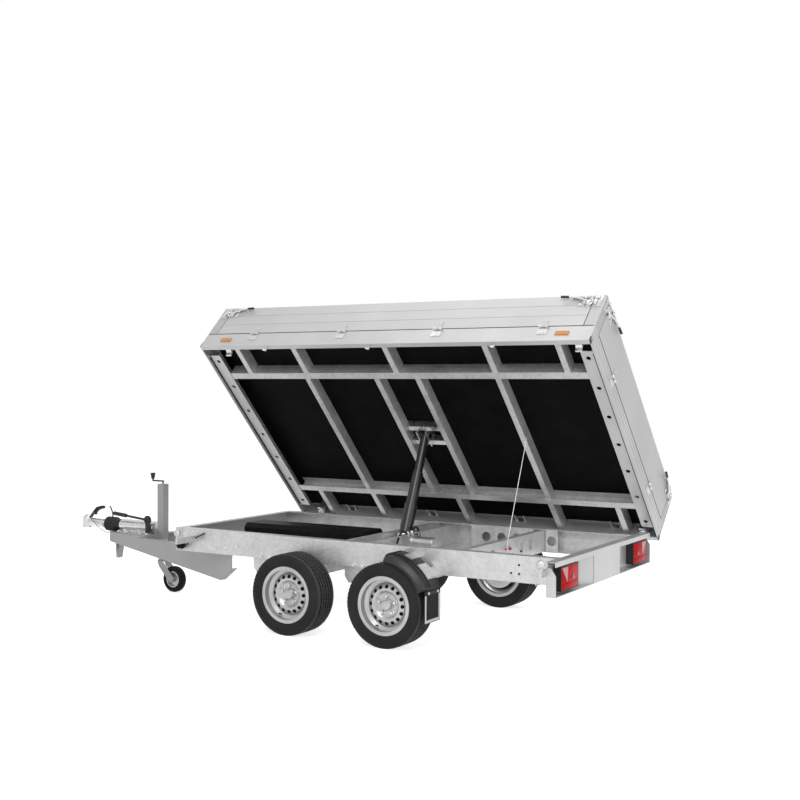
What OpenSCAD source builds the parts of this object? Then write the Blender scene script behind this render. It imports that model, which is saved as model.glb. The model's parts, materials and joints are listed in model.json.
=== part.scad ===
// Three-way tipper trailer with two axles, its bed tipped to the right-hand side.
// +X points forward to the coupling, +Y to the left side, +Z up.
// The modules are drawn with x = 0 at the rear beam's face and z = 0 on the ground.
// place() then moves the origin to the centre of the tow ball.

/* [Bed] */
// Length of the bed over its boards
bed_length = 2978; // [2700:5:3300]
// Width of the bed over its boards
bed_width = 1866; // [1840:2:1960]
// Height of the drop-side boards
board_height = 277; // [200:1:400]
// Thickness of the boards
board_thick = 30; // [20:1:40]
// Height of the bed's outer frame profile
bed_frame_height = 130; // [115:1:150]
// Angle to which the bed is tipped
tip_angle = 45.8; // [20:0.1:48]
// Thickness of the plywood floor
floor_thick = 18; // [9:1:21]

/* [Chassis] */
// Length of the chassis from rear beam to front beam
chassis_length = 2936; // [2800:1:3200]
// Distance over the outer faces of the rails
rail_gauge = 1330; // [1280:2:1340]
// Height of a rail
rail_height = 160; // [140:1:180]
// Width of a rail's flanges
rail_flange = 60; // [50:1:70]
// Wall thickness of the rails and cross channels
rail_wall = 5; // [4:0.5:6]
// Height of the rails' top above the ground
rail_top = 606; // [600:1:612]
// Width of the rear lamp beam
rear_beam_width = 1624; // [1500:2:1700]
// Height of the rear lamp beam
rear_beam_height = 204; // [190:1:220]

/* [Running gear] */
// Outer diameter of the road tyres
tyre_diameter = 525; // [510:1:540]
// Width of the road tyres
tyre_width = 197; // [180:1:200]
// Distance between the two axles
axle_spread = 733; // [690:1:780]
// Distance of the rear axle from the rear beam's face
rear_axle_x = 1104; // [1080:1:1140]
// Distance between the middles of the left and right tyres
track = 1590; // [1580:1:1610]
// Radius of the wheel rim's flange
rim_flange_radius = 182.5; // [180:0.5:186]

/* [Drawbar] */
// Distance of the tow ball's centre from the rear beam's face
coupling_x = 4453; // [4300:1:4600]
// Height of the tow ball's centre above the ground
coupling_z = 475; // [465:1:482]
// Radius of the ball socket
socket_radius = 25.2; // [25.1:0.05:25.5]
// Height of the jockey post's top above the ground
jockey_top = 832; // [760:1:900]
// Diameter of the jockey wheel
jockey_wheel_diameter = 200; // [180:1:210]

/* [Hidden] */
$fn = 48;

// Fits and gaps
fit_gap = 0.2;
run_gap = 0.05;
panel_gap = 3;
end_gap = 6;
over = 1;

// Heights derived from the rails
rail_bottom = rail_top - rail_height;
wheel_clear = 31.5;
rail_y = min(rail_gauge, track - tyre_width - 2 * wheel_clear) / 2;
rail_inner_y = rail_y - rail_wall;
cross_height = rail_height - 2 * rail_wall;
cross_z = rail_bottom + rail_wall;
cross_flange = 45;
beam_depth = 60;
front_beam_x = chassis_length - beam_depth;
box_beam_gap = 126;
box_x = [1720, front_beam_x - box_beam_gap];

// Bed, drawn lowered and then turned about the right-hand pivots
bed_pad = 10;
bed_under = rail_top + bed_pad;
bed_beam_height = 84;
floor_z = bed_under + bed_beam_height;
floor_top = floor_z + floor_thick;
profile_wall = 4;
profile_top = floor_top;
profile_z = profile_top - bed_frame_height;
profile_flange = 34;
end_flange = 100;
end_flange_z = bed_under - profile_wall;
bed_rear = -31;
bed_front = bed_rear + bed_length;
bed_y = bed_width / 2;
board_z = profile_top + panel_gap;
board_top = board_z + board_height;
bed_beam_y = 640;
bed_beam_flange = 55;
bed_cross_flange = 40;
bed_cross_half = bed_beam_y - profile_wall;
post_width = 75;

// Bed pivots: x of each, and the shared y and z
pivot_inset = [99, 199];
pivot_beam_gap = 128;
pivot_x = [bed_rear + pivot_inset[0], min(bed_front - pivot_inset[1], front_beam_x - pivot_beam_gap)];
pivot_y = 865;
pivot_z = 598;
ball_radius = 25;
claw_gap = 0.5;
claw_wall = 12;
claw_width = 44;

// Hinges of the drop sides: x of the side hinges, y of the tailgate hinges
hinge_x = [300, 1040, 1780, 2520];
hinge_y = [-500, 500];
hinge_out = 9;
hinge_drop = 10;
knuckle_radius = 8;
pin_radius = 4;
knuckle_length = 22;
leaf_height = 64;
leaf_thick = 4;

// Ram: a telescopic cylinder on trunnions between two cross channels
ram_x = 1470;
trunnion_z = 560;
trunnion_radius = 20;
ram_head_z = bed_under + 24;
ram_stroke_share = 3;
barrel_radius = 52;
barrel_below = 300;
barrel_above = 14;
collar = [57, 18];
stage_radius = [45, 38, 31];
stage_gap = 0.5;
stage_step = 7;
stage_lift = 10;
ram_head_radius = 27;
head_pin_radius = 12;
drift_gap = 12;
// The rod head's place at rest, turned with the bed about the right-hand pivots
head_arm = [pivot_y, ram_head_z - pivot_z];
head_y = -pivot_y + head_arm[0] * cos(tip_angle) - head_arm[1] * sin(tip_angle);
head_z = pivot_z + head_arm[0] * sin(tip_angle) + head_arm[1] * cos(tip_angle);
ram_lean = atan2(-head_y, head_z - trunnion_z);
ram_length = norm([head_y, head_z - trunnion_z]);
ram_closed = ram_head_z - trunnion_z;
ram_stroke = (ram_length - ram_closed) / ram_stroke_share;

// Wheels
tyre_radius = tyre_diameter / 2;
front_axle_x = rear_axle_x + axle_spread;
bead_radius = 165;
drop_radius = 142;
rim_half = 84;
rim_wall = 5;
vent_count = 16;
vent_radius = 8.5;
vent_circle = 113;
hub_bore = 15;
drum_radius = 116;
drum_inner = -60;
arm_length = 150;
arm_rise = 83;
arm_thick = 22;
axle_side = 80;
backplate_gap = 6;

// Fenders over the rear wheels
fender_radius = 312;
fender_thick = 5;
fender_from = 92;
fender_to = 158;
fender_inside = 105;
fender_inner_y = track / 2 - fender_inside;
fender_outside = 100;
fender_outer_y = track / 2 + fender_outside;
fender_lip = 40;
fender_shoulder = 36;
fender_skirt = 40;
function fender_edge(radius) = [rear_axle_x, tyre_radius] + radius * [cos(fender_to), sin(fender_to)];
skirt_x = fender_edge(fender_radius + fender_thick)[0];
fender_end_z = fender_edge(fender_radius + fender_thick)[1];
flap_length = 200;
flap_thick = 4;

// Drawbar: two tapered channels that spread from the coupling to the rails
// Places along the drawbar stretch with the room between the chassis and the ball
drawbar_drawn = 1517;
function along(x) = chassis_length + x * (coupling_x - chassis_length) / drawbar_drawn;
bar_front_x = along(1216);
bar_front_y = 62;
bar_overlap = 489;
bar_rear_x = chassis_length - bar_overlap;
bar_rear_y = rail_y - 8;
bar_flange = 45;
bar_front_z = [358, 430];
bar_low_z = 256;
bar_end_z = 350;
bar_low_from_end = 150;
bar_flat_to = 500;
bar_level_at = 980;
head_plate_thick = 6;

// Jockey wheel
jockey_x = along(714);
clamp_reach = 40;
head_plate_rear = jockey_x + clamp_reach;
jockey_side = 60;
jockey_wall = 4;
jockey_post_z = 403;
jockey_leg_z = 246;
jockey_leg_top = 640;
jockey_trail = 120;
jockey_wheel_width = 58;
fork_gap = 6;
fork_thick = 6;
fork_top = 240;
fork_plate = 10;

// Colours
galvanised = "silver";
alloy = "lightgray";
black = [0.09, 0.09, 0.1];
rubber = [0.06, 0.06, 0.06];

// Moves the drawing so that the tow ball's centre is the origin
module place() {
    translate([-coupling_x, 0, -coupling_z]) children();
}

// Turns the lowered bed about the right-hand pivots to its tipped place
module tipped() {
    place() translate([0, -pivot_y, pivot_z]) rotate([tip_angle, 0, 0])
        translate([0, pivot_y, -pivot_z]) children();
}

// Leans a ram drawn upright on its trunnions to its place at rest
module leaned() {
    place() translate([ram_x, 0, trunnion_z]) rotate([ram_lean, 0, 0]) children();
}

// A box from its lowest to its highest corner
module block(low, high) {
    translate(low) cube([for (i = [0:2]) high[i] - low[i]]);
}

// Both sides of the trailer, the right one mirrored
module both_sides() {
    for (side = [0, 1]) mirror([0, side, 0]) children();
}

// A channel along +X with its web's outer face on y = 0 and its flanges towards -Y
module channel(length, height, flange, wall) {
    rotate([90, 0, 90]) linear_extrude(length)
        polygon([[0, 0], [-flange, 0], [-flange, wall], [-wall, wall], [-wall, height - wall],
                 [-flange, height - wall], [-flange, height], [0, height]]);
}

// A channel along Y, centred on y = 0, with its web's outer face at x and flanges towards +X
module cross_channel(x, z, half, height, flange, wall) {
    translate([x, -half, z]) rotate([0, 0, 90]) channel(2 * half, height, flange, wall);
}

// A round bar along X or Y
module bar_x(length, radius) {
    rotate([0, 90, 0]) cylinder(h = length, r = radius);
}
module bar_y(length, radius) {
    rotate([-90, 0, 0]) cylinder(h = length, r = radius);
}

// Chassis
module chassis_rails() {
    color(galvanised) place() both_sides() translate([beam_depth, rail_y, rail_bottom])
        channel(front_beam_x - beam_depth, rail_height, rail_flange, rail_wall);
}

gusset_hole = 34;
// Closing plates on the rails' open side: the x of their ends, and of their holes
gusset_rear = [590, 680];
gusset_front = [770, 1260];
gusset_rear_hole = [636];
gusset_front_holes = [900, 1020, 1140];
gussets = [[gusset_rear, gusset_rear_hole], [gusset_front, gusset_front_holes]];
module rail_gussets() {
    plate_y = rail_y - rail_flange;
    color(galvanised) place() both_sides() for (g = gussets) difference() {
        block([g[0][0], plate_y - rail_wall, rail_bottom], [g[0][1], plate_y, rail_top]);
        for (x = g[1]) translate([x, plate_y - rail_wall - over, rail_bottom + rail_height / 2])
            bar_y(rail_wall + 2 * over, gusset_hole);
    }
}

cross_hole = 36;
// Holes in the rear cross channel, by y
cross_hole_y = [-360, -220, 220, 360];
rear_cross_x = 687;
carrier_x = [1850, box_x[1] - 130];
carrier_height = 40;
module chassis_crossmembers() {
    color(galvanised) place() {
        difference() {
            cross_channel(rear_cross_x, cross_z, rail_inner_y, cross_height, cross_flange, rail_wall);
            for (y = cross_hole_y) translate([rear_cross_x - over, y, cross_z + cross_height / 2])
                bar_x(rail_wall + 2 * over, cross_hole);
        }
        for (x = carrier_x)
            cross_channel(x, cross_z, rail_inner_y, carrier_height, cross_flange, rail_wall);
    }
}

ram_cross_gap = 62;
module ram_crossmembers() {
    color(galvanised) place() for (side = [0, 1]) translate([ram_x, 0, 0]) mirror([side, 0, 0])
        difference() {
            cross_channel(ram_cross_gap, cross_z, rail_inner_y, cross_height, cross_flange, rail_wall);
            translate([ram_cross_gap - over, 0, trunnion_z])
                bar_x(rail_wall + 2 * over, trunnion_radius + run_gap);
        }
}

lamp_width = 254;
lamp_height = 142;
lamp_y = 606;
lamp_z = rail_top - rear_beam_height + 26;
recess_from = 225;
recess_slope = 100;
recess_depth = 56;
recess_top = lamp_z + lamp_height + 6;
// Side view of the plate that closes an end of the rear beam
end_plate = [[0, rail_top - rear_beam_height], [0, 525], [30, 571], [beam_depth, 571],
             [beam_depth, rail_top - rear_beam_height]];
module rear_beam() {
    // Both ends are set back behind the beam's face for the lamps
    end_y = rear_beam_width / 2 - rail_wall;
    low = rail_top - rear_beam_height + rail_wall;
    color(galvanised) place() {
        difference() {
            cross_channel(0, rail_top - rear_beam_height, rear_beam_width / 2, rear_beam_height,
                          beam_depth, rail_wall);
            both_sides() block([-over, recess_from, low], [rail_wall + over, end_y + rail_wall + over, recess_top]);
        }
        both_sides() {
            translate([0, end_y + rail_wall, 0]) rotate([90, 0, 0]) linear_extrude(rail_wall)
                polygon(end_plate);
            translate([0, 0, low]) linear_extrude(rail_top - rail_wall - low) {
                polygon([[rail_wall, recess_from - rail_wall], [recess_depth, recess_from + recess_slope],
                         [recess_depth, recess_from + recess_slope + rail_wall],
                         [recess_depth - rail_wall, recess_from + recess_slope + rail_wall],
                         [rail_wall, recess_from + rail_wall]]);
                translate([recess_depth - rail_wall, recess_from + recess_slope])
                    square([rail_wall, end_y - recess_from - recess_slope]);
            }
        }
    }
}

module front_beam() {
    color(galvanised) place() translate([chassis_length, 0, 0]) mirror([1, 0, 0])
        cross_channel(0, rail_bottom, rail_y, rail_height, beam_depth, rail_wall);
}

// Drawbar channel seen from its side: run along the bar against height, inset by the wall
bar_run = norm([bar_front_x - bar_rear_x, bar_rear_y - bar_front_y]);
bar_turn = atan2(bar_rear_y - bar_front_y, bar_front_x - bar_rear_x);
module bar_side(inset, reach) {
    polygon([[-reach, bar_front_z[0] + inset], [bar_run - bar_low_from_end, bar_low_z + inset],
             [bar_run + reach, bar_end_z + inset], [bar_run + reach, rail_bottom - inset],
             [bar_level_at, rail_bottom - inset], [bar_flat_to, bar_front_z[1] - inset],
             [-reach, bar_front_z[1] - inset]]);
}

module drawbar_channel() {
    translate([bar_front_x, bar_front_y, 0]) rotate([90, 0, 180 - bar_turn])
        translate([0, 0, -bar_flange]) difference() {
            linear_extrude(bar_flange) bar_side(0, 0);
            translate([0, 0, -over]) linear_extrude(bar_flange - rail_wall + over)
                bar_side(rail_wall, over);
        }
}

// Half width over the drawbar channels at x
function bar_half(x) = bar_front_y + (bar_front_x - x) * tan(bar_turn);

module drawbar() {
    color(galvanised) place() {
        both_sides() drawbar_channel();
        translate([0, 0, bar_front_z[1]]) linear_extrude(head_plate_thick)
            polygon([[bar_front_x, -bar_front_y], [bar_front_x, bar_front_y],
                     [head_plate_rear, bar_half(head_plate_rear)],
                     [head_plate_rear, -bar_half(head_plate_rear)]]);
    }
}

// Overrun device and coupling, all on the drawtube's line
tube_z = 488;
housing_back = 70;
housing_x = [jockey_x + housing_back, along(1126)];
housing_radius = 46;
housing_foot = [62, 34];
drawtube_radius = 26;
deck_z = bar_front_z[1] + head_plate_thick;
bellows_gap = 16;
bellows_x = [housing_x[1] + bellows_gap, along(1306)];
bellows_radius = [38, 51];
bellows_folds = 5;
neck_gap = 20;
neck_x = bellows_x[1] + neck_gap;
head_radius = 40;
socket_mouth = 30;
module overrun_housing() {
    color(galvanised) place() difference() {
        union() {
            translate([housing_x[0], 0, tube_z])
                bar_x(housing_x[1] - housing_x[0], housing_radius);
            block([housing_x[0] + 20, -housing_foot[0], deck_z],
                  [housing_x[1] - 20, housing_foot[0], deck_z + 12]);
            block([housing_x[0] + 20, -housing_foot[1], deck_z],
                  [housing_x[1] - 20, housing_foot[1], tube_z]);
            translate([housing_x[1] - 10, 0, tube_z]) bar_x(24, housing_radius - 6);
        }
        translate([housing_x[1] - 120, 0, tube_z]) bar_x(140, drawtube_radius + run_gap);
    }
}

module bellows() {
    fold = (bellows_x[1] - bellows_x[0]) / bellows_folds;
    color(rubber) place() translate([bellows_x[0], 0, tube_z]) rotate([0, 90, 0])
        rotate_extrude() polygon(concat(
            [[drawtube_radius + fit_gap, 0]],
            [for (i = [0:bellows_folds - 1], k = [0, 1])
                [bellows_radius[k], fold * (i + k / 2)]],
            [[bellows_radius[0], fold * bellows_folds],
             [drawtube_radius + fit_gap, fold * bellows_folds]]));
}

tube_tail = 110;
tube_nose = 10;
socket_crown = 52;
module head_form() {
    translate([housing_x[1] - tube_tail, 0, tube_z])
        bar_x(neck_x - housing_x[1] + tube_tail + tube_nose, drawtube_radius);
    translate([neck_x, 0, tube_z]) bar_x(coupling_x - neck_x, head_radius - 6);
    translate([coupling_x, 0, coupling_z - socket_mouth])
        cylinder(h = socket_mouth + socket_crown, r = head_radius);
    translate([coupling_x, 0, coupling_z + socket_crown - socket_mouth / 2]) sphere(r = head_radius);
}
module coupling_head() {
    color(galvanised) place() difference() {
        head_form();
        translate([coupling_x, 0, coupling_z - socket_mouth - over])
            cylinder(h = socket_mouth + over, r = socket_radius);
        translate([coupling_x, 0, coupling_z]) sphere(r = socket_radius);
    }
}

handle_width = 34;
handle_thick = 16;
// Side view of the coupling's lifting handle: x back from the ball, z above it
handle_line = [[26, 40], [70, 92], [104, 124], [150, 136]];
module coupling_handle() {
    color(black) place() difference() {
        translate([coupling_x, handle_width / 2, coupling_z]) rotate([90, 0, 0])
            linear_extrude(handle_width) polygon(concat(
                [for (q = handle_line) [-q[0], q[1]]],
                [for (i = [len(handle_line) - 1:-1:0])
                    [-handle_line[i][0] - 6, handle_line[i][1] + handle_thick]]));
        head_form();
    }
}

lever_y = 54;
lever_back = 110;
lever_pivot = [jockey_x + lever_back, 548];
lever_tip = [along(1176), 582];
lever_thick = 10;
lever_radius = [15, 9];
lever_grip = 130;
module brake_lever() {
    reach = norm(lever_tip - lever_pivot);
    slope = atan2(lever_tip[1] - lever_pivot[1], lever_tip[0] - lever_pivot[0]);
    color(black) place() {
        translate([lever_pivot[0], lever_y, lever_pivot[1]]) rotate([0, -slope, 0]) {
            bar_x(reach - lever_grip, lever_radius[1]);
            translate([reach - lever_grip, 0, 0]) bar_x(lever_grip, lever_radius[0]);
        }
        translate([lever_pivot[0], lever_y - lever_thick / 2, lever_pivot[1]])
            bar_y(lever_thick, 34);
        block([lever_pivot[0] - 20, lever_y - lever_thick / 2, deck_z + 12],
              [lever_pivot[0] + 20, lever_y + lever_thick / 2, lever_pivot[1]]);
    }
}

foot_x = [along(1116), along(1204)];
foot_low = 224;
foot_bar = 14;
foot_width = 36;
module front_foot() {
    mid = (foot_x[0] + foot_x[1]) / 2 + 12;
    color(galvanised) place() translate([0, foot_width / 2, 0]) rotate([90, 0, 0])
        linear_extrude(foot_width) difference() {
            polygon([[foot_x[0], bar_front_z[1]], [mid - 16, foot_low], [mid + 16, foot_low],
                     [foot_x[1], bar_front_z[1]]]);
            polygon([[foot_x[0] + foot_bar, bar_front_z[1] + over], [mid, foot_low + 44],
                     [foot_x[1] - foot_bar, bar_front_z[1] + over]]);
        }
}

// Jockey wheel: post on the drawbar, sliding leg, castor fork and wheel
clamp_z = [396, 470];
clamp_half = 52;
module jockey_post() {
    half = jockey_side / 2;
    color(galvanised) place() {
        difference() {
            block([jockey_x - half, -half, jockey_post_z], [jockey_x + half, half, jockey_top]);
            block([jockey_x - half + jockey_wall, -half + jockey_wall, jockey_post_z - over],
                  [jockey_x + half - jockey_wall, half - jockey_wall, jockey_top - jockey_wall]);
        }
        block([jockey_x + half, -clamp_half, clamp_z[0]], [head_plate_rear, clamp_half, clamp_z[1]]);
    }
}

crank_radius = 6;
crank_reach = 110;
crank_rise = 22;
knob = [20, 46];
module jockey_crank() {
    color(black) place() translate([jockey_x, 0, jockey_top]) {
        cylinder(h = crank_rise, r = crank_radius);
        translate([-crank_radius, 0, crank_rise]) bar_x(crank_reach, crank_radius);
        translate([crank_reach - crank_radius, 0, crank_rise]) {
            cylinder(h = 20, r = crank_radius);
            translate([0, 0, 14]) cylinder(h = knob[1], r1 = knob[0] - 8, r2 = knob[0]);
        }
    }
}

leg_half = jockey_side / 2 - jockey_wall - 0.5;
module jockey_leg() {
    color(galvanised) place() difference() {
        block([jockey_x - leg_half, -leg_half, jockey_leg_z], [jockey_x + leg_half, leg_half, jockey_leg_top]);
        translate([jockey_x, 0, jockey_leg_z - over])
            cylinder(h = 60 + over, r = head_pin_radius + run_gap);
    }
}

jockey_radius = jockey_wheel_diameter / 2;
fork_y = jockey_wheel_width / 2 + fork_gap;
jockey_axle_radius = 9;
module jockey_fork() {
    wheel_x = jockey_x - jockey_trail;
    color(galvanised) place() {
        translate([jockey_x, 0, fork_top - fork_plate]) cylinder(h = fork_plate, r = 42);
        translate([jockey_x, 0, fork_top - fork_plate]) cylinder(h = fork_plate + 50, r = head_pin_radius);
        both_sides() translate([0, fork_y + fork_thick, 0]) rotate([90, 0, 0])
            linear_extrude(fork_thick) polygon([
                [jockey_x - 24, fork_top], [jockey_x + 22, fork_top], [jockey_x + 8, fork_top - 44],
                [wheel_x + 26, jockey_radius - 18], [wheel_x - 4, jockey_radius - 26],
                [wheel_x - 26, jockey_radius + 10]]);
        translate([wheel_x, -fork_y, jockey_radius]) bar_y(2 * fork_y, jockey_axle_radius);
    }
}

jockey_rim_radius = 62;
module jockey_rim() {
    half = jockey_wheel_width / 2;
    color(alloy) place() translate([jockey_x - jockey_trail, 0, jockey_radius]) rotate([-90, 0, 0])
        rotate_extrude() polygon([
            [jockey_axle_radius + run_gap, -half], [22, -half], [22, -10], [52, -8], [54, -half + 4],
            [jockey_rim_radius, -half + 4], [jockey_rim_radius, half - 4], [54, half - 4], [52, 8], [22, 10],
            [22, half], [jockey_axle_radius + run_gap, half]]);
}

module jockey_tyre() {
    half = jockey_wheel_width / 2;
    color(rubber) place() translate([jockey_x - jockey_trail, 0, jockey_radius]) rotate([-90, 0, 0])
        rotate_extrude() polygon([
            [jockey_rim_radius + fit_gap, -half + 4], [72, -half], [88, -half], [97, -half + 8],
            [jockey_radius, -half + 18], [jockey_radius, half - 18], [97, half - 8], [88, half],
            [72, half], [jockey_rim_radius + fit_gap, half - 4]]);
}

// Axles and wheels
module axles() {
    spindle_y = track / 2 + drum_inner - backplate_gap;
    arm_y = rail_y + 4;
    color(galvanised) place() for (x = [rear_axle_x, front_axle_x]) {
        block([x + arm_length - axle_side / 2, -arm_y - 1, tyre_radius + arm_rise - axle_side / 2],
              [x + arm_length + axle_side / 2, arm_y + 1, tyre_radius + arm_rise + axle_side / 2]);
        both_sides() {
            translate([0, arm_y + arm_thick, 0]) rotate([90, 0, 0]) linear_extrude(arm_thick)
                polygon([[x - 40, tyre_radius - 34], [x + 30, tyre_radius - 34],
                         [x + arm_length + 36, tyre_radius + arm_rise - 36],
                         [x + arm_length + 36, tyre_radius + arm_rise + 36],
                         [x + arm_length - 30, tyre_radius + arm_rise + 36], [x - 40, tyre_radius + 34]]);
            translate([x, arm_y, tyre_radius]) bar_y(spindle_y - arm_y, 32);
            translate([x, spindle_y - 6, tyre_radius]) bar_y(6, drum_radius + 4);
            translate([x, spindle_y, tyre_radius]) bar_y(backplate_gap - drum_inner + 8, hub_bore);
        }
    }
}

bracket_inset = 23;
bracket_y = rail_y - bracket_inset;
bracket_thick = 8;
bracket_low = 340;
bracket_front = 280;
bracket_back = 150;
module axle_brackets() {
    notch_top = tyre_radius + arm_rise + axle_side / 2;
    color(galvanised) place() both_sides() for (x = [rear_axle_x, front_axle_x])
        translate([x + arm_length, bracket_y + bracket_thick, 0]) rotate([90, 0, 0])
            linear_extrude(bracket_thick) difference() {
                polygon([[-bracket_back, rail_bottom], [-bracket_back, rail_bottom - 30],
                         [-axle_side, bracket_low], [bracket_front - 30, bracket_low],
                         [bracket_front, bracket_low + 40], [bracket_front, rail_bottom]]);
                translate([-axle_side / 2, bracket_low - over])
                    square([axle_side, notch_top - bracket_low + over]);
            }
}

// Half of the tyre's outline: radius against distance from the tyre's middle plane
groove = [8, 7];
groove_z = [-44, 0, 44];
module tyre(x, side) {
    w = tyre_width / 2;
    half = [[bead_radius + fit_gap, rim_half - rim_wall - 1], [rim_flange_radius + 1, rim_half - rim_wall - 0.5],
            [192, w - 6], [205, w - 1], [220, w], [238, w - 3.5], [tyre_radius - 10, w - 10],
            [tyre_radius - 3, w - 18], [tyre_radius, w - 32]];
    count = len(half);
    color(rubber) place() translate([x, side * track / 2, tyre_radius]) rotate([-90 * side, 0, 0])
        rotate_extrude() difference() {
            polygon(concat(half, [for (i = [count - 1:-1:0]) [half[i][0], -half[i][1]]]));
            for (z = groove_z) translate([tyre_radius - groove[1], z - groove[0] / 2])
                square(groove);
        }
}

// Half section of the rim, disc, hub and drum: radius against distance from the middle plane
disc_face = [[137, 24], [122, 38], [104, 46], [88, 44], [74, 30], [60, 27], [30, 27]];
disc_thick = 7;
cap = [34, 46, 28, 54];
module wheel(x, side) {
    b = bead_radius;
    d = drop_radius;
    t = rim_wall;
    h = rim_half;
    disc_count = len(disc_face);
    color(alloy) place() translate([x, side * track / 2, tyre_radius]) rotate([-90 * side, 0, 0])
        difference() {
            rotate_extrude() {
                polygon([[b - t, -h], [rim_flange_radius, -h], [rim_flange_radius, -h + t], [b, -h + t],
                         [b, -45], [d, -30], [d, 25], [b, 40], [b, h - t], [rim_flange_radius, h - t],
                         [rim_flange_radius, h], [b - t, h], [b - t, 43], [d - t, 28], [d - t, -33],
                         [b - t, -48]]);
                polygon(concat(disc_face, [for (i = [disc_count - 1:-1:0])
                    [disc_face[i][0], disc_face[i][1] - disc_thick]]));
                polygon([[hub_bore + run_gap, drum_inner], [drum_radius, drum_inner], [drum_radius, -4],
                         [55, -4], [55, 21], [cap[0], 21], [cap[0], cap[1]], [cap[2], cap[3]], [0, cap[3]],
                         [0, 12], [hub_bore + run_gap, 12]]);
            }
            for (i = [0:vent_count - 1]) rotate([0, 0, i * 360 / vent_count])
                translate([vent_circle, 0, 24]) cylinder(h = 40, r = vent_radius);
        }
}

module fenders() {
    // The outer shoulder is cut back so that the tipped bed's low edge passes it
    width = fender_outer_y - fender_inner_y;
    outer = fender_radius + fender_thick;
    color(black) place() both_sides() {
        translate([rear_axle_x, fender_outer_y, tyre_radius]) rotate([90, 0, 0]) rotate([0, 0, fender_from])
            rotate_extrude(angle = fender_to - fender_from) polygon([
                [outer, width], [outer, fender_shoulder], [outer - fender_shoulder, 0],
                [fender_radius - fender_lip, 0], [fender_radius - fender_lip, fender_thick],
                [fender_radius - fender_shoulder + 0.586 * fender_thick, fender_thick],
                [fender_radius, fender_shoulder + 0.414 * fender_thick], [fender_radius, width]]);
        translate([0, fender_outer_y - fender_shoulder - 4, 0]) rotate([90, 0, 0])
            linear_extrude(width - fender_shoulder - 4) polygon([
                fender_edge(fender_radius), fender_edge(outer), [skirt_x, fender_end_z - fender_skirt],
                [fender_edge(fender_radius)[0], fender_end_z - fender_skirt]]);
    }
}

strap_angle = [112, 140];
strap_width = 60;
strap_thick = 6;
strap_reach = 90;
module fender_brackets() {
    color(galvanised) place() both_sides() for (a = strap_angle)
        translate([rear_axle_x, rail_y, tyre_radius]) rotate([0, 90 - a, 0])
            block([-strap_width / 2, 0, fender_radius + fender_thick],
                  [strap_width / 2, fender_inner_y - rail_y + strap_reach, fender_radius + fender_thick + strap_thick]);
}

module mudflaps() {
    color(black) place() both_sides()
        block([skirt_x - flap_thick, fender_inner_y + 10, fender_end_z - flap_length],
              [skirt_x, fender_outer_y - 4, fender_end_z - 2]);
}

// Hydraulics
box_y = 130;
box_top = 598;
box_edge = 30;
module storage_box() {
    low = cross_z + carrier_height;
    color(black) place() translate([box_x[0], 0, 0]) rotate([90, 0, 90])
        linear_extrude(box_x[1] - box_x[0]) polygon([
            [-box_y, low], [box_y, low], [box_y, box_top - box_edge], [box_y - box_edge, box_top],
            [-box_y + box_edge, box_top], [-box_y, box_top - box_edge]]);
}

pump_x = [1180, 1345];
pump_y = 90;
pump_radius = 44;
pump_z = 545;
module pump() {
    color(alloy) place() {
        translate([pump_x[0], pump_y, pump_z]) bar_x(pump_x[1] - pump_x[0], pump_radius);
        block([pump_x[1], pump_y - 50, pump_z - 60], 
              [ram_x - ram_cross_gap - rail_wall, pump_y + 50, pump_z + 46]);
    }
}

lens_depth = 8;
lens_rim = 5;
module lamp_housings() {
    color(black) place() both_sides()
        block([lens_depth, lamp_y - lamp_width / 2, lamp_z],
              [recess_depth - rail_wall, lamp_y + lamp_width / 2, lamp_z + lamp_height]);
}
module lamp_lenses() {
    color("red") place() both_sides()
        block([0, lamp_y - lamp_width / 2 + lens_rim, lamp_z + lens_rim],
              [lens_depth, lamp_y + lamp_width / 2 - lens_rim, lamp_z + lamp_height - lens_rim]);
}

outrigger = [8, 522, 562];
stud_radius = 12;
module pivot_outriggers() {
    color(galvanised) place() both_sides() for (x = pivot_x) {
        block([x - outrigger[0], rail_y, outrigger[1]],
              [x + outrigger[0], pivot_y + stud_radius, outrigger[2]]);
        translate([x, pivot_y, outrigger[2] - over]) cylinder(h = pivot_z - outrigger[2], r = stud_radius);
        translate([x, pivot_y, pivot_z]) sphere(r = ball_radius);
    }
}

// Ram, drawn along +Z from its trunnions
module ram_barrel() {
    color(black) leaned() difference() {
        union() {
            translate([0, 0, -barrel_below]) cylinder(h = barrel_below + barrel_above, r = barrel_radius);
            translate([0, 0, barrel_above - collar[1]]) cylinder(h = collar[1], r = collar[0]);
            translate([-ram_cross_gap - rail_wall - 4, 0, 0])
                bar_x(2 * (ram_cross_gap + rail_wall + 4), trunnion_radius);
        }
        translate([0, 0, -barrel_below + 8])
            cylinder(h = barrel_below + barrel_above, r = stage_radius[0] + stage_gap);
    }
}

// A telescopic stage at full stroke: a tube, open at the top
module ram_tube(index) {
    lift = ram_stroke * (index + 1);
    low = lift - barrel_below + stage_lift * (index + 1);
    high = lift + barrel_above + stage_step * (index + 1);
    color(black) leaned() translate([0, 0, low]) difference() {
        cylinder(h = high - low, r = stage_radius[index]);
        translate([0, 0, 8]) cylinder(h = high - low, r = stage_radius[index + 1] + stage_gap);
    }
}

module ram_stage_3() {
    low = 3 * ram_stroke - barrel_below + stage_lift * 3;
    color(black) leaned() {
        translate([0, 0, low]) cylinder(h = ram_length - low, r = stage_radius[2]);
        translate([-ram_head_radius, 0, ram_length]) bar_x(2 * ram_head_radius, ram_head_radius);
        translate([-ram_head_radius - 18, 0, ram_length])
            bar_x(2 * ram_head_radius + 36, head_pin_radius);
    }
}

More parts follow.
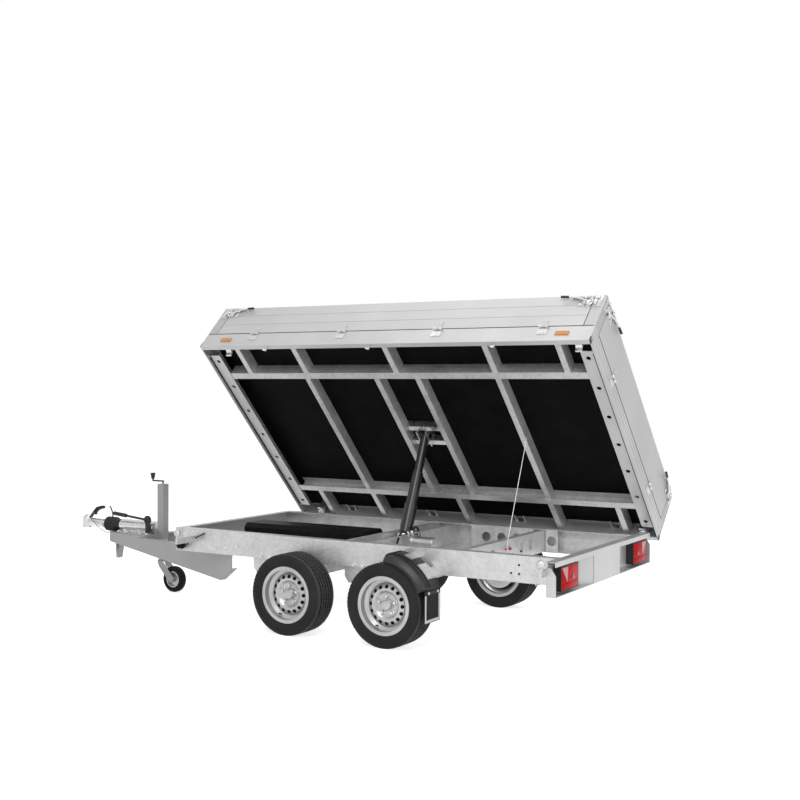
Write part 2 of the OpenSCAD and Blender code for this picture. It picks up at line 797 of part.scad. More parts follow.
// Bed
module bed_floor() {
    // Lies between the frame's top flanges, flush with them
    inset = profile_flange + fit_gap;
    color(black) tipped() block([bed_rear + inset, -bed_y + inset, floor_z],
                                [bed_front - inset, bed_y - inset, floor_top]);
}

module bed_beams() {
    start = bed_rear + end_flange + fit_gap;
    color(galvanised) tipped() both_sides() translate([start, bed_beam_y, bed_under])
        channel(bed_front - end_flange - fit_gap - start, bed_beam_height, bed_beam_flange, profile_wall);
}

// Cross channels between the beams, and short ones out to the side profiles, by x
bed_cross_x = [680, 1276, 1600, 2172];
bed_short_x = [180, 678, 1415, 2152, 2640];
module bed_crossmembers() {
    inner = bed_beam_y;
    outer = bed_y - profile_wall;
    color(galvanised) tipped() {
        for (x = bed_cross_x)
            cross_channel(x, bed_under + profile_wall, bed_cross_half, bed_beam_height - 2 * profile_wall,
                          bed_cross_flange, profile_wall);
        both_sides() for (x = bed_short_x) translate([x, inner, bed_under]) rotate([0, 0, 90])
            channel(outer - inner, bed_beam_height, bed_cross_flange, profile_wall);
    }
}

rope_hook_x = [598, 1512, 2353];
rope_hook = [5, 36];
module bed_side_profiles() {
    start = bed_rear + profile_wall;
    color(galvanised) tipped() both_sides() {
        translate([start, bed_y, profile_z])
            channel(bed_length - 2 * profile_wall, bed_frame_height, profile_flange, profile_wall);
        for (x = rope_hook_x) translate([x, bed_y - profile_flange / 2, profile_z - rope_hook[1]])
            cylinder(h = rope_hook[1] + profile_wall / 2, r = rope_hook[0]);
    }
}

end_hole = 15;
end_hole_x = 60;
end_hole_pitch = 254;
module bed_end_profiles() {
    // The foot flange stays above the chassis' beams and ends short of the claws
    half = pivot_y - claw_width;
    color(galvanised) tipped() for (end = [0, 1]) translate([end * (bed_front + bed_rear), 0, 0])
        mirror([end, 0, 0]) {
            block([bed_rear, -bed_y, profile_z], [bed_rear + profile_wall, bed_y, profile_top]);
            block([bed_rear, -bed_y + profile_flange + over, profile_top - profile_wall],
                  [bed_rear + profile_flange, bed_y - profile_flange - over, profile_top]);
            difference() {
                block([bed_rear, -half, end_flange_z], [bed_rear + end_flange, half, end_flange_z + profile_wall]);
                for (i = [-3:3]) translate([bed_rear + end_hole_x, i * end_hole_pitch, end_flange_z - over])
                    cylinder(h = profile_wall + 2 * over, r = end_hole);
            }
        }
}

socket_cheek = 10;
socket_gap = 5;
bracket_half = 70;
module ram_bracket() {
    x0 = bed_cross_x[1] + bed_cross_flange;
    x1 = bed_cross_x[2];
    cheek = ram_head_radius + socket_gap;
    color(galvanised) tipped() difference() {
        union() {
            for (y = [-bracket_half, bracket_half])
                block([x0, y - 20, bed_under + 30], [x1, y + 20, floor_z]);
            for (side = [-1, 1]) translate([ram_x + side * (cheek + socket_cheek / 2), 0, 0])
                block([-socket_cheek / 2, -bracket_half, bed_under - 6], [socket_cheek / 2, bracket_half, floor_z]);
        }
        translate([ram_x - cheek - socket_cheek - over, 0, ram_head_z])
            bar_x(2 * (cheek + socket_cheek + over), head_pin_radius + drift_gap);
    }
}

module pivot_claws() {
    inner = ball_radius + claw_gap;
    color(galvanised) tipped() both_sides() for (x = pivot_x) translate([x - claw_width / 2, pivot_y, pivot_z])
        difference() {
            union() {
                bar_x(claw_width, inner + claw_wall);
                block([0, -inner, 0], [claw_width, inner, floor_z - pivot_z]);
            }
            translate([-over, 0, 0]) bar_x(claw_width + 2 * over, inner);
            block([-over, -inner - claw_wall - over, -inner - claw_wall - over],
                  [claw_width + over, inner + claw_wall + over, 0]);
        }
}

module corner_posts() {
    color(alloy) tipped() both_sides() for (end = [0, 1]) translate([end * (bed_front + bed_rear), 0, 0])
        mirror([end, 0, 0]) {
            block([bed_rear, bed_y - board_thick, profile_top], [bed_rear + post_width, bed_y, board_top]);
            block([bed_rear, bed_y - post_width, profile_top], [bed_rear + board_thick, bed_y, board_top]);
        }
}

groove_depth = 1.5;
groove_width = 6;
// A board along X standing on z = board_z, its outer face on y = 0 and its thickness towards -Y
module board(length, grooves = [1, 2]) {
    difference() {
        block([0, -board_thick, board_z], [length, 0, board_top]);
        for (k = grooves) block([-over, -groove_depth, board_z + k * board_height / 3],
                               [length + over, over, board_z + k * board_height / 3 + groove_width]);
    }
}

// Hinge strap with the middle knuckle, on a board whose outer face is y = 0
latch_plate = [150, 30, 5];
latch_lever = [118, 7, 13];
latch_drop = 44;
module board_latch() {
    translate([end_gap, 0, board_top - latch_drop]) {
        block([0, 0, 0], [latch_plate[0], latch_plate[2], latch_plate[1]]);
        block([10, 0, 6], [24, latch_lever[2], latch_plate[1] - 6]);
        translate([10, latch_lever[2], latch_plate[1] / 2]) bar_x(latch_lever[0], latch_lever[1]);
    }
}
module end_latches(length) {
    for (end = [0, 1]) translate([end * length, 0, 0]) mirror([end, 0, 0]) board_latch();
}
module board_strap() {
    difference() {
        union() {
            block([-knuckle_length / 2, 0, board_z - hinge_drop], [knuckle_length / 2, leaf_thick, board_z + leaf_height]);
            translate([-knuckle_length / 2, hinge_out, board_z - hinge_drop]) bar_x(knuckle_length, knuckle_radius);
        }
        translate([-knuckle_length / 2 - over, hinge_out, board_z - hinge_drop])
            bar_x(knuckle_length + 2 * over, pin_radius + run_gap);
    }
}

// Hinge leaf with the outer knuckles and the pin, on a profile whose outer face is y = 0
module frame_leaf() {
    wide = knuckle_length * 1.5 + 1;
    low = board_z - hinge_drop;
    difference() {
        union() {
            block([-wide, 0, low - leaf_height], [wide, leaf_thick, low]);
            translate([-wide, hinge_out, low]) bar_x(2 * wide, knuckle_radius);
        }
        block([-knuckle_length / 2 - 1, -over, low - knuckle_radius - 2],
              [knuckle_length / 2 + 1, hinge_out + knuckle_radius + over, low + knuckle_radius + over]);
    }
    translate([-wide, hinge_out, low]) bar_x(2 * wide, pin_radius);
}

side_start = bed_rear + post_width + end_gap;
side_length = bed_length - 2 * (post_width + end_gap);
gate_half = bed_y - post_width - end_gap;
module side_board() {
    translate([side_start, bed_y, 0]) {
        board(side_length);
        end_latches(side_length);
    }
    for (x = hinge_x) translate([x, bed_y, 0]) board_strap();
}
module board_left() {
    color(alloy) tipped() side_board();
}
module board_right() {
    color(alloy) tipped() mirror([0, 1, 0]) side_board();
}

// Turns a piece drawn along X with its outside to +Y so that it faces the rear
module to_rear() {
    translate([bed_rear, 0, 0]) rotate([0, 0, 90]) children();
}
module tailgate() {
    color(alloy) tipped() to_rear() {
        translate([-gate_half, 0, 0]) {
            board(2 * gate_half, []);
            end_latches(2 * gate_half);
        }
        for (y = hinge_y) translate([y, 0, 0]) board_strap();
    }
}
module headboard() {
    color(alloy) tipped() translate([bed_front, 0, 0]) rotate([0, 0, -90])
        translate([-gate_half - end_gap, 0, -panel_gap]) {
            board(2 * (gate_half + end_gap), []);
        }
}

module hinge_leaves() {
    color(galvanised) tipped() {
        both_sides() for (x = hinge_x) translate([x, bed_y, 0]) frame_leaf();
        to_rear() for (y = hinge_y) translate([y, 0, 0]) frame_leaf();
    }
}

reflector = [90, 32, 6];
reflector_x = [120, 2700];
module side_reflectors() {
    z = profile_z + bed_frame_height / 2 - reflector[1] / 2;
    color("orange") tipped() both_sides() for (x = reflector_x)
        block([x, bed_y, z], [x + reflector[0], bed_y + reflector[2], z + reflector[1]]);
}

chassis_rails();
rail_gussets();
chassis_crossmembers();
ram_crossmembers();
rear_beam();
front_beam();
drawbar();
overrun_housing();
bellows();
coupling_head();
coupling_handle();
brake_lever();
front_foot();
jockey_post();
jockey_crank();
jockey_leg();
jockey_fork();
jockey_rim();
jockey_tyre();
axles();
axle_brackets();
tyre(front_axle_x, 1);  // tyre_front_left
tyre(front_axle_x, -1);  // tyre_front_right
tyre(rear_axle_x, 1);  // tyre_rear_left
tyre(rear_axle_x, -1);  // tyre_rear_right
wheel(front_axle_x, 1);  // wheel_front_left
wheel(front_axle_x, -1);  // wheel_front_right
wheel(rear_axle_x, 1);  // wheel_rear_left
wheel(rear_axle_x, -1);  // wheel_rear_right
fenders();
fender_brackets();
mudflaps();
storage_box();
pump();
lamp_housings();
lamp_lenses();
pivot_outriggers();
ram_barrel();
ram_tube(0);  // ram_stage_1
ram_tube(1);  // ram_stage_2
ram_stage_3();
bed_floor();
bed_beams();
bed_crossmembers();
bed_side_profiles();
bed_end_profiles();
ram_bracket();
pivot_claws();
corner_posts();
headboard();
side_reflectors();
hinge_leaves();
board_left();
board_right();
tailgate();
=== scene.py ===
"""Looks for the three-way tipper trailer: finishes, fittings, lines, studio and camera.

Shapes are written in the drawing's millimetres (x forward from the rear beam's face, y to the
left, z up from the ground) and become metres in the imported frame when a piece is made.
"""

from __future__ import annotations

import json
import logging
import math
from dataclasses import dataclass, field
from enum import Enum
from typing import Iterable, Sequence

import bmesh
import bpy
from mathutils import Matrix, Vector

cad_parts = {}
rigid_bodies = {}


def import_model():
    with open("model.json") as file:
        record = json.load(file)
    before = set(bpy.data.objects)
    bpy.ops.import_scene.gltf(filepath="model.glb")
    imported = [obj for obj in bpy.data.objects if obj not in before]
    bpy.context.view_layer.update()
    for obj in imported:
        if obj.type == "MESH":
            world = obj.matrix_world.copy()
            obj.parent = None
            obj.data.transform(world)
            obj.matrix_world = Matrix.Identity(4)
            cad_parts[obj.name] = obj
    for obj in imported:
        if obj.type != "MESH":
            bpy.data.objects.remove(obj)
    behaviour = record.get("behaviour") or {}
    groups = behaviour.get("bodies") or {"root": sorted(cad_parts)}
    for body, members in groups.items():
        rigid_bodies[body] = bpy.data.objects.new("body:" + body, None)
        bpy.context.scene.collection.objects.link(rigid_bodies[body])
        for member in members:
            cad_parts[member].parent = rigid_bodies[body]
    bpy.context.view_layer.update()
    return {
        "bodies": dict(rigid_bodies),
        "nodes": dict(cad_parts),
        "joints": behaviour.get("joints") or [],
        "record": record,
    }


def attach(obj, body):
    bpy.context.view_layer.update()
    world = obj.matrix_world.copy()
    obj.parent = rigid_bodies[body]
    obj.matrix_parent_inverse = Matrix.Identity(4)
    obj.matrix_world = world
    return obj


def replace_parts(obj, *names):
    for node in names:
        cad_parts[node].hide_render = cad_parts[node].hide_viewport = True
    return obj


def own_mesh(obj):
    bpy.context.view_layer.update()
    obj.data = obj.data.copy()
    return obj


log = logging.getLogger("tipper_trailer")

Point = Sequence[float]
Colour = tuple[float, float, float]

MM = 0.001
BALL_CENTRE = Vector((4453.0, 0.0, 475.0))
TIP_PIVOT = Vector((0.0, -865.0, 598.0))
TIP_ANGLE = math.radians(45.8)
RAM_FOOT = Vector((1470.0, 0.0, 560.0))
RAM_LEAN = math.radians(23.0194)
BED_REAR, BED_FRONT, BED_SIDE = -31.0, 2947.0, 933.0
BOARD_HIGH = 998.0
RAIL_SIDE, RAIL_LOW = 665.0, 446.0
AXLES = {"front": 1837.0, "rear": 1104.0}
SIDES = {"left": 1, "right": -1}
X_AXIS, Y_AXIS, Z_AXIS, REARWARD = (1, 0, 0), (0, 1, 0), (0, 0, 1), (-1, 0, 0)
TINY = 1e-6
BOX_FACES = ((0, 1, 3, 2), (4, 5, 7, 6), (0, 1, 5, 4), (2, 3, 7, 6), (0, 2, 6, 4), (1, 3, 7, 5))
RIVET = ((5.5, 0), (5.5, 1.2), (3.8, 2.8), (0, 3.2))

CHASSIS = Matrix.Scale(MM, 4) @ Matrix.Translation(-BALL_CENTRE)
BED = (CHASSIS @ Matrix.Translation(TIP_PIVOT) @ Matrix.Rotation(TIP_ANGLE, 4, "X")
       @ Matrix.Translation(-TIP_PIVOT))
RAM = CHASSIS @ Matrix.Translation(RAM_FOOT) @ Matrix.Rotation(RAM_LEAN, 4, "X")


class Panel(Enum):
    """The bed's walls that open; each maps (along, outward, up) onto the bed's frame."""

    LEFT = ((1, 0, 0, 0), (0, 1, 0, BED_SIDE), (0, 0, 1, 0), (0, 0, 0, 1))
    RIGHT = ((1, 0, 0, 0), (0, -1, 0, -BED_SIDE), (0, 0, 1, 0), (0, 0, 0, 1))
    REAR = ((0, -1, 0, BED_REAR), (1, 0, 0, 0), (0, 0, 1, 0), (0, 0, 0, 1))

    @property
    def frame(self) -> Matrix:
        """The wall's own frame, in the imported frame's metres."""
        return BED @ Matrix(self.value)

    @property
    def word(self) -> str:
        """The wall's name as it stands in the names of pieces."""
        return self.name.lower()


def spot(point: Point, frame: Matrix = CHASSIS) -> Vector:
    """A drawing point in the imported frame, in metres."""
    return frame @ Vector(point)


def round_y(radius: float, angle: float, y: float = 0.0) -> Vector:
    """A point round a cross axis, at an angle in radians from +x towards +z."""
    return Vector((radius * math.cos(angle), y, radius * math.sin(angle)))


def add_object(name: str, data: bpy.types.ID) -> bpy.types.Object:
    """Adds an object to the scene.

    Args:
        name: Its name.
        data: Its mesh, lamp or camera.

    Returns:
        The new object.
    """
    made = bpy.data.objects.new(name, data)
    bpy.context.scene.collection.objects.link(made)
    return made


def smooth_path(points: Sequence[Point], steps: int) -> list[Vector]:
    """Runs one smooth curve through a few points.

    Args:
        points: The points that the line passes through, in order.
        steps: How many pieces each stretch is cut into.

    Returns:
        The points of the curve, ends included.
    """
    knots = [Vector(p) for p in points]
    knots = [2 * knots[0] - knots[1], *knots, 2 * knots[-1] - knots[-2]]
    line = []
    for a, b, c, d in zip(knots, knots[1:], knots[2:], knots[3:]):
        for i in range(steps):
            t = i / steps
            line.append(0.5 * (2 * b + (c - a) * t + (2 * a - 5 * b + 4 * c - d) * t ** 2
                               + (3 * b - a - 3 * c + d) * t ** 3))
    return [*line, knots[-2]]


class Shape:
    """Collects solids in the drawing's millimetres and makes one piece of them."""

    def __init__(self) -> None:
        """Starts empty."""
        self.mesh = bmesh.new()

    def _round(self, verts: Iterable[bmesh.types.BMVert], by: float, steps: int = 2) -> None:
        """Rounds every edge of the given solid.

        Args:
            verts: The solid's corners.
            by: How far its edges are rounded.
            steps: How many facets each rounding has.
        """
        edges = list(dict.fromkeys(e for v in verts for e in v.link_edges))
        bmesh.ops.bevel(self.mesh, geom=edges, offset=by, segments=steps, profile=0.5,
                        affect="EDGES")

    def block(self, low: Point, high: Point, round_by: float = 0.0) -> "Shape":
        """Adds a box between two corners.

        Args:
            low: One corner.
            high: The opposite corner.
            round_by: How far its edges are rounded.

        Returns:
            This shape.
        """
        a, b = Vector(low), Vector(high)
        verts = bmesh.ops.create_cube(self.mesh, size=1.0)["verts"]
        bmesh.ops.scale(self.mesh, vec=b - a, verts=verts)
        bmesh.ops.translate(self.mesh, vec=(a + b) / 2, verts=verts)
        if round_by:
            self._round(verts, round_by)
        return self

    def turned(self, profile: Sequence[tuple[float, float]], base: Point, axis: Point, sides: int,
               closed: bool = False) -> "Shape":
        """Adds a solid of revolution.

        Args:
            profile: (radius, height) pairs from one end of the axis to the other.
            base: Where height 0 lies.
            axis: The direction of the axis.
            sides: How many facets go round.
            closed: Whether the profile is a loop, as of a ring.

        Returns:
            This shape.
        """
        turn = Vector(Z_AXIS).rotation_difference(Vector(axis)).to_matrix()
        angles = [math.tau * i / sides for i in range(sides)]
        rings = []
        for radius, height in profile:
            rings.append([self.mesh.verts.new(Vector(base) + turn @ Vector(
                (radius * math.cos(a), radius * math.sin(a), height)))
                for a in angles[:1 if radius < TINY else sides]])
        for low, high in zip(rings, rings[1:] + rings[:1] if closed else rings[1:]):
            for i in range(sides):
                j = (i + 1) % sides
                corners = dict.fromkeys((low[i % len(low)], low[j % len(low)],
                                         high[j % len(high)], high[i % len(high)]))
                if len(corners) > 2:
                    self.mesh.faces.new(list(corners))
        for ring in () if closed else (rings[0], rings[-1]):
            if len(ring) > 2:
                self.mesh.faces.new(ring)
        return self

    def tread(self, centre: Point, angle: float, span: float, across: tuple[float, float],
              radii: tuple[float, float], skew: float) -> "Shape":
        """Adds one tread block of a wheel that turns about y.

        Args:
            centre: The wheel's centre.
            angle: Where the block starts, in radians.
            span: How far it goes round, in radians.
            across: Its two edges' distance from the wheel's middle.
            radii: Radius of its foot and of its face.
            skew: How far the second edge lies ahead, in radians.

        Returns:
            This shape.
        """
        verts = [self.mesh.verts.new(Vector(centre) + round_y(r, a, y))
                 for r in radii for y, lead in ((across[0], 0.0), (across[1], skew))
                 for a in (angle + lead, angle + lead + span)]
        for ids in BOX_FACES:
            self.mesh.faces.new([verts[i] for i in ids])
        return self

    def pin(self, start: Point, end: Point, radius: float, sides: int, chamfer: float) -> "Shape":
        """Adds a round bar between two points, with chamfered ends.

        Args:
            start: The middle of one end.
            end: The middle of the other.
            radius: Its radius.
            sides: How many facets go round.
            chamfer: How far its ends are cut back.

        Returns:
            This shape.
        """
        a, b = Vector(start), Vector(end)
        long = (b - a).length
        profile = [(radius - chamfer, 0), (radius, chamfer), (radius, long - chamfer),
                   (radius - chamfer, long)]
        return self.turned(profile, a, b - a, sides)

    def tube(self, line: Sequence[Point], radius: float, sides: int) -> "Shape":
        """Adds a round bar that follows a line of points.

        Args:
            line: The points of its middle.
            radius: Its radius.
            sides: How many facets go round.

        Returns:
            This shape.
        """
        path = [Vector(p) for p in line]
        across = (path[1] - path[0]).normalized().orthogonal().normalized()
        rings = []
        for i, p in enumerate(path):
            way = (path[min(i + 1, len(path) - 1)] - path[max(i - 1, 0)]).normalized()
            across = (across - way * across.dot(way)).normalized()
            other = way.cross(across)
            rings.append([p + radius * (across * math.cos(math.tau * k / sides)
                                        + other * math.sin(math.tau * k / sides))
                          for k in range(sides)])
        return self.loft(rings)

    def plate(self, outline: Sequence[Point], origin: Point, u: Point, v: Point, thick: float,
              round_by: float) -> "Shape":
        """Adds a flat plate cut to an outline.

        Args:
            outline: (u, v) corners in order.
            origin: Where (0, 0) lies.
            u: Direction of the first coordinate.
            v: Direction of the second.
            thick: Thickness, along u x v.
            round_by: How far its edges are rounded.

        Returns:
            This shape.
        """
        o, uu, vv = Vector(origin), Vector(u), Vector(v)
        out = uu.cross(vv) * thick
        low = [self.mesh.verts.new(o + uu * a + vv * b) for a, b in outline]
        high = [self.mesh.verts.new(w.co + out) for w in low]
        self.mesh.faces.new(low)
        self.mesh.faces.new(high)
        for i, j in zip(range(len(low)), [*range(1, len(low)), 0]):
            self.mesh.faces.new((low[i], low[j], high[j], high[i]))
        self._round(low + high, round_by, 1)
        return self

    def bolt(self, seat: Point, axis: Point, across: float) -> "Shape":
        """Adds a hexagon bolt head on its washer.

        Args:
            seat: Where the washer lies.
            axis: The way that the head points, of length 1.
            across: Its width across the flats.

        Returns:
            This shape.
        """
        head, washer = across / 2 / math.cos(math.pi / 6), 2.2
        self.turned([(across * 0.85, 0), (across * 0.85, 1.6), (across * 0.8, washer)], seat, axis,
                    20)
        return self.turned([(head, 0), (head, across * 0.5), (head * 0.86, across * 0.62)],
                           Vector(seat) + Vector(axis) * washer, axis, 6)

    def sweep(self, section: Sequence[tuple[float, float]], centre: Point, angles: Sequence[float]
              ) -> "Shape":
        """Turns a closed (radius, y) section about a cross axis, capped at both ends.

        Args:
            section: The corners of the section.
            centre: A point of the axis, which runs along y.
            angles: The stations in radians, from +x towards +z.

        Returns:
            This shape.
        """
        return self.loft([[Vector(centre) + round_y(r, a, y) for r, y in section] for a in angles])

    def loft(self, outlines: Sequence[Sequence[Vector]]) -> "Shape":
        """Joins closed outlines of as many points each into one body.

        Args:
            outlines: The outlines in order, the first and last of them capped.

        Returns:
            This shape.
        """
        rings = [[self.mesh.verts.new(p) for p in outline] for outline in outlines]
        count = len(rings[0])
        for low, high in zip(rings, rings[1:]):
            for k in range(count):
                m = (k + 1) % count
                self.mesh.faces.new((low[k], low[m], high[m], high[k]))
        self.mesh.faces.new(rings[0])
        self.mesh.faces.new(rings[-1])
        return self

    def make(self, name: str, finish: "Finish", body: str, frame: Matrix = CHASSIS,
             sharp: float = 35.0) -> bpy.types.Object:
        """Turns what was collected into a piece that rides on a body.

        Args:
            name: The piece's name.
            finish: Its finish.
            body: The body that carries it.
            frame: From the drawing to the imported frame.
            sharp: Edges above this angle in degrees stay sharp.

        Returns:
            The new object.
        """
        bmesh.ops.transform(self.mesh, matrix=frame, verts=self.mesh.verts)
        bmesh.ops.recalc_face_normals(self.mesh, faces=self.mesh.faces)
        data = bpy.data.meshes.new(name)
        self.mesh.to_mesh(data)
        self.mesh.free()
        data.polygons.foreach_set("use_smooth", [True] * len(data.polygons))
        data.set_sharp_from_angle(angle=math.radians(sharp))
        data.materials.append(finish.material())
        piece = add_object(name, data)
        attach(piece, body)
        log.info("%s rides on %s", name, body)
        return piece


class Nodes:
    """Short calls for adding and joining shader nodes in one tree."""

    def __init__(self, tree: bpy.types.NodeTree) -> None:
        """Keeps the tree that nodes are added to."""
        self.tree = tree

    @classmethod
    def fresh(cls, owner: bpy.types.ID) -> "Nodes":
        """Starts with the emptied tree of a material or world.

        Args:
            owner: The material or world.

        Returns:
            The maker of its nodes.
        """
        owner.use_nodes = True
        owner.node_tree.nodes.clear()
        return cls(owner.node_tree)

    def feed(self, socket: bpy.types.NodeSocket, value: object) -> None:
        """Joins a socket to another, or sets its value.

        Args:
            socket: The input socket.
            value: An output socket or a plain value.
        """
        if isinstance(value, bpy.types.NodeSocket):
            self.tree.links.new(value, socket)
        else:
            socket.default_value = value

    def add(self, kind: str, settings: dict | None = None, **inputs: object) -> bpy.types.Node:
        """Adds a node.

        Args:
            kind: The node's type.
            settings: Values of the node itself.
            **inputs: Socket values or sockets by name, with _ for a blank.

        Returns:
            The node.
        """
        node = self.tree.nodes.new(kind)
        for name, value in (settings or {}).items():
            setattr(node, name, value)
        for name, value in inputs.items():
            self.feed(node.inputs[name.replace("_", " ")], value)
        return node

    def ordered(self, kind: str, settings: dict, values: dict[int, object]) -> bpy.types.Node:
        """Adds a node whose inputs are told apart by their place.

        Args:
            kind: The node's type.
            settings: Values of the node itself.
            values: Socket values or sockets by place.

        Returns:
            The node.
        """
        node = self.add(kind, settings)
        for place, value in values.items():
            self.feed(node.inputs[place], value)
        return node

    def mix(self, share: object, a: object, b: object) -> bpy.types.NodeSocket:
        """Mixes two colours; share, a and b are sockets or values."""
        return self.ordered("ShaderNodeMix", {"data_type": "RGBA"},
                            {0: share, 6: a, 7: b}).outputs[2]

    def reckon(self, operation: str, *values: object) -> bpy.types.NodeSocket:
        """Does arithmetic on sockets or values and returns the result."""
        return self.ordered("ShaderNodeMath", {"operation": operation},
                            dict(enumerate(values))).outputs[0]

    def noise(self, vector: bpy.types.NodeSocket, **inputs: object) -> bpy.types.NodeSocket:
        """Adds cloudy noise and returns its strength."""
        return self.add("ShaderNodeTexNoise", Vector=vector, **inputs).outputs[0]

    def spread(self, value: bpy.types.NodeSocket, low: object, high: object,
               start: float = 0.0, end: float = 1.0) -> bpy.types.NodeSocket:
        """Maps a value from start..end onto low..high."""
        return self.add("ShaderNodeMapRange", Value=value, From_Min=start, From_Max=end,
                        To_Min=low, To_Max=high).outputs["Result"]

    def in_sight(self) -> bpy.types.NodeSocket:
        """Finds the rays that show a surface to the camera.

        Returns:
            1 for a ray that comes straight or by way of metal and glass, otherwise 0.
        """
        path = self.add("ShaderNodeLightPath").outputs
        found = path["Is Camera Ray"]
        for name in ("Is Glossy Ray", "Is Transmission Ray"):
            found = self.reckon("MAXIMUM", found, path[name])
        return found


class Effect(Enum):
    """Surface effects that several finishes share, each one a shader node group."""

    SPANGLE = "zinc_spangle"
    BRUSHED = "rolled_sheet"
    MOTTLE = "moulded_mottle"
    PRISM = "prism_lens"
    DUST = "road_dust"

    def group(self) -> bpy.types.NodeTree:
        """The effect's node group, built when it is first asked for."""
        return bpy.data.node_groups.get(self.value) or EffectGroups().build(self)


class EffectGroups:
    """Builds the shared node groups."""

    def _start(self, name: str, inputs: Sequence[tuple[str, str, object]], outputs: dict[str, str]
               ) -> tuple[Nodes, dict, bpy.types.Node]:
        """Opens a group with its named sockets.

        Args:
            name: The group's name.
            inputs: (name, type, default value) of each input.
            outputs: The outputs' types by name.

        Returns:
            The node maker, the input sockets by name, and the output node.
        """
        tree = bpy.data.node_groups.new(name, "ShaderNodeTree")
        for title, kind, value in inputs:
            socket = tree.interface.new_socket(title, in_out="INPUT",
                                               socket_type=f"NodeSocket{kind}")
            if value is not None:
                socket.default_value = value
        for title, kind in outputs.items():
            tree.interface.new_socket(title, in_out="OUTPUT", socket_type=f"NodeSocket{kind}")
        entry = {s.name: s for s in tree.nodes.new("NodeGroupInput").outputs if s.name}
        return Nodes(tree), entry, tree.nodes.new("NodeGroupOutput")

    def _surface(self, effect: Effect) -> tuple[Nodes, dict, bpy.types.Node]:
        """Opens a group that gives colour, roughness and height.

        Args:
            effect: The effect that the group is for.

        Returns:
            The node maker, the input sockets by name, and the output node.
        """
        return self._start(effect.value, (
            ("Vector", "Vector", None), ("Light", "Color", (0.7, 0.7, 0.7, 1)),
            ("Dark", "Color", (0.5, 0.5, 0.5, 1)), ("Scale", "Float", 20.0),
            ("Rough Low", "Float", 0.3), ("Rough High", "Float", 0.5)),
            {"Colour": "Color", "Roughness": "Float", "Height": "Float"})

    def _close(self, nodes: Nodes, end: bpy.types.Node, **sockets: bpy.types.NodeSocket
               ) -> bpy.types.NodeTree:
        """Joins the results to the group's outputs.

        Args:
            nodes: The group's node maker.
            end: Its output node.
            **sockets: The results by the outputs' names.

        Returns:
            The group.
        """
        for name, socket in sockets.items():
            nodes.feed(end.inputs[name], socket)
        return nodes.tree

    def build(self, effect: Effect) -> bpy.types.NodeTree:
        """Builds one effect's group.

        Args:
            effect: The effect.

        Returns:
            The group.
        """
        return {Effect.SPANGLE: self._spangle, Effect.BRUSHED: self._brushed,
                Effect.MOTTLE: self._mottle, Effect.PRISM: self._prism,
                Effect.DUST: self._dust}[effect]()

    def _spangle(self) -> bpy.types.NodeTree:
        """Makes zinc crystals under soft cloudy stains.

        Returns:
            The group.
        """
        n, i, end = self._surface(Effect.SPANGLE)
        flakes = n.add("ShaderNodeTexVoronoi", Vector=i["Vector"], Scale=i["Scale"])
        grey = n.add("ShaderNodeSeparateColor", Color=flakes.outputs["Color"]).outputs[0]
        cloud = n.noise(i["Vector"], Scale=11.0, Detail=7.0, Roughness=0.72)
        both = n.reckon("MULTIPLY_ADD", grey, 0.45, n.spread(cloud, 0.0, 0.6, 0.34, 0.68))
        return self._close(n, end, Colour=n.mix(both, i["Dark"], i["Light"]),
                           Roughness=n.spread(both, i["Rough Low"], i["Rough High"]), Height=both)

    def _brushed(self) -> bpy.types.NodeTree:
        """Makes fine lines along the rolled sheet and faint waves across it.

        Returns:
            The group.
        """
        n, i, end = self._surface(Effect.BRUSHED)
        long = n.add("ShaderNodeMapping", Vector=i["Vector"], Scale=(0.02, 1.0, 1.0)).outputs[0]
        line = n.noise(long, Scale=i["Scale"], Detail=3.0)
        wave = n.noise(i["Vector"], Scale=2.2, Detail=2.0)
        share = n.reckon("MULTIPLY_ADD", line, 0.4, n.spread(wave, 0.0, 0.7, 0.3, 0.7))
        return self._close(n, end, Colour=n.mix(share, i["Dark"], i["Light"]),
                           Roughness=n.spread(line, i["Rough Low"], i["Rough High"], 0.3, 0.7),
                           Height=line)

    def _mottle(self) -> bpy.types.NodeTree:
        """Makes the even grain of moulded plastic, rubber and paint.

        Returns:
            The group.
        """
        n, i, end = self._surface(Effect.MOTTLE)
        fine = n.noise(i["Vector"], Scale=i["Scale"], Detail=4.0)
        broad = n.noise(i["Vector"], Scale=6.0, Detail=3.0)
        share = n.spread(broad, 0.0, 1.0, 0.3, 0.7)
        return self._close(n, end, Colour=n.mix(share, i["Dark"], i["Light"]),
                           Roughness=n.spread(fine, i["Rough Low"], i["Rough High"], 0.3, 0.7),
                           Height=fine)

    def _prism(self) -> bpy.types.NodeTree:
        """Makes the small prisms behind a lamp lens or reflector.

        Returns:
            The group.
        """
        n, i, end = self._surface(Effect.PRISM)
        cells = n.add("ShaderNodeTexVoronoi", {"distance": "CHEBYCHEV"}, Vector=i["Vector"],
                      Scale=i["Scale"], Randomness=0.0).outputs["Distance"]
        share = n.spread(cells, 0.0, 1.0, 0.0, 0.6)
        return self._close(n, end, Colour=n.mix(share, i["Light"], i["Dark"]),
                           Roughness=n.spread(cells, i["Rough Low"], i["Rough High"], 0.0, 0.6),
                           Height=cells)

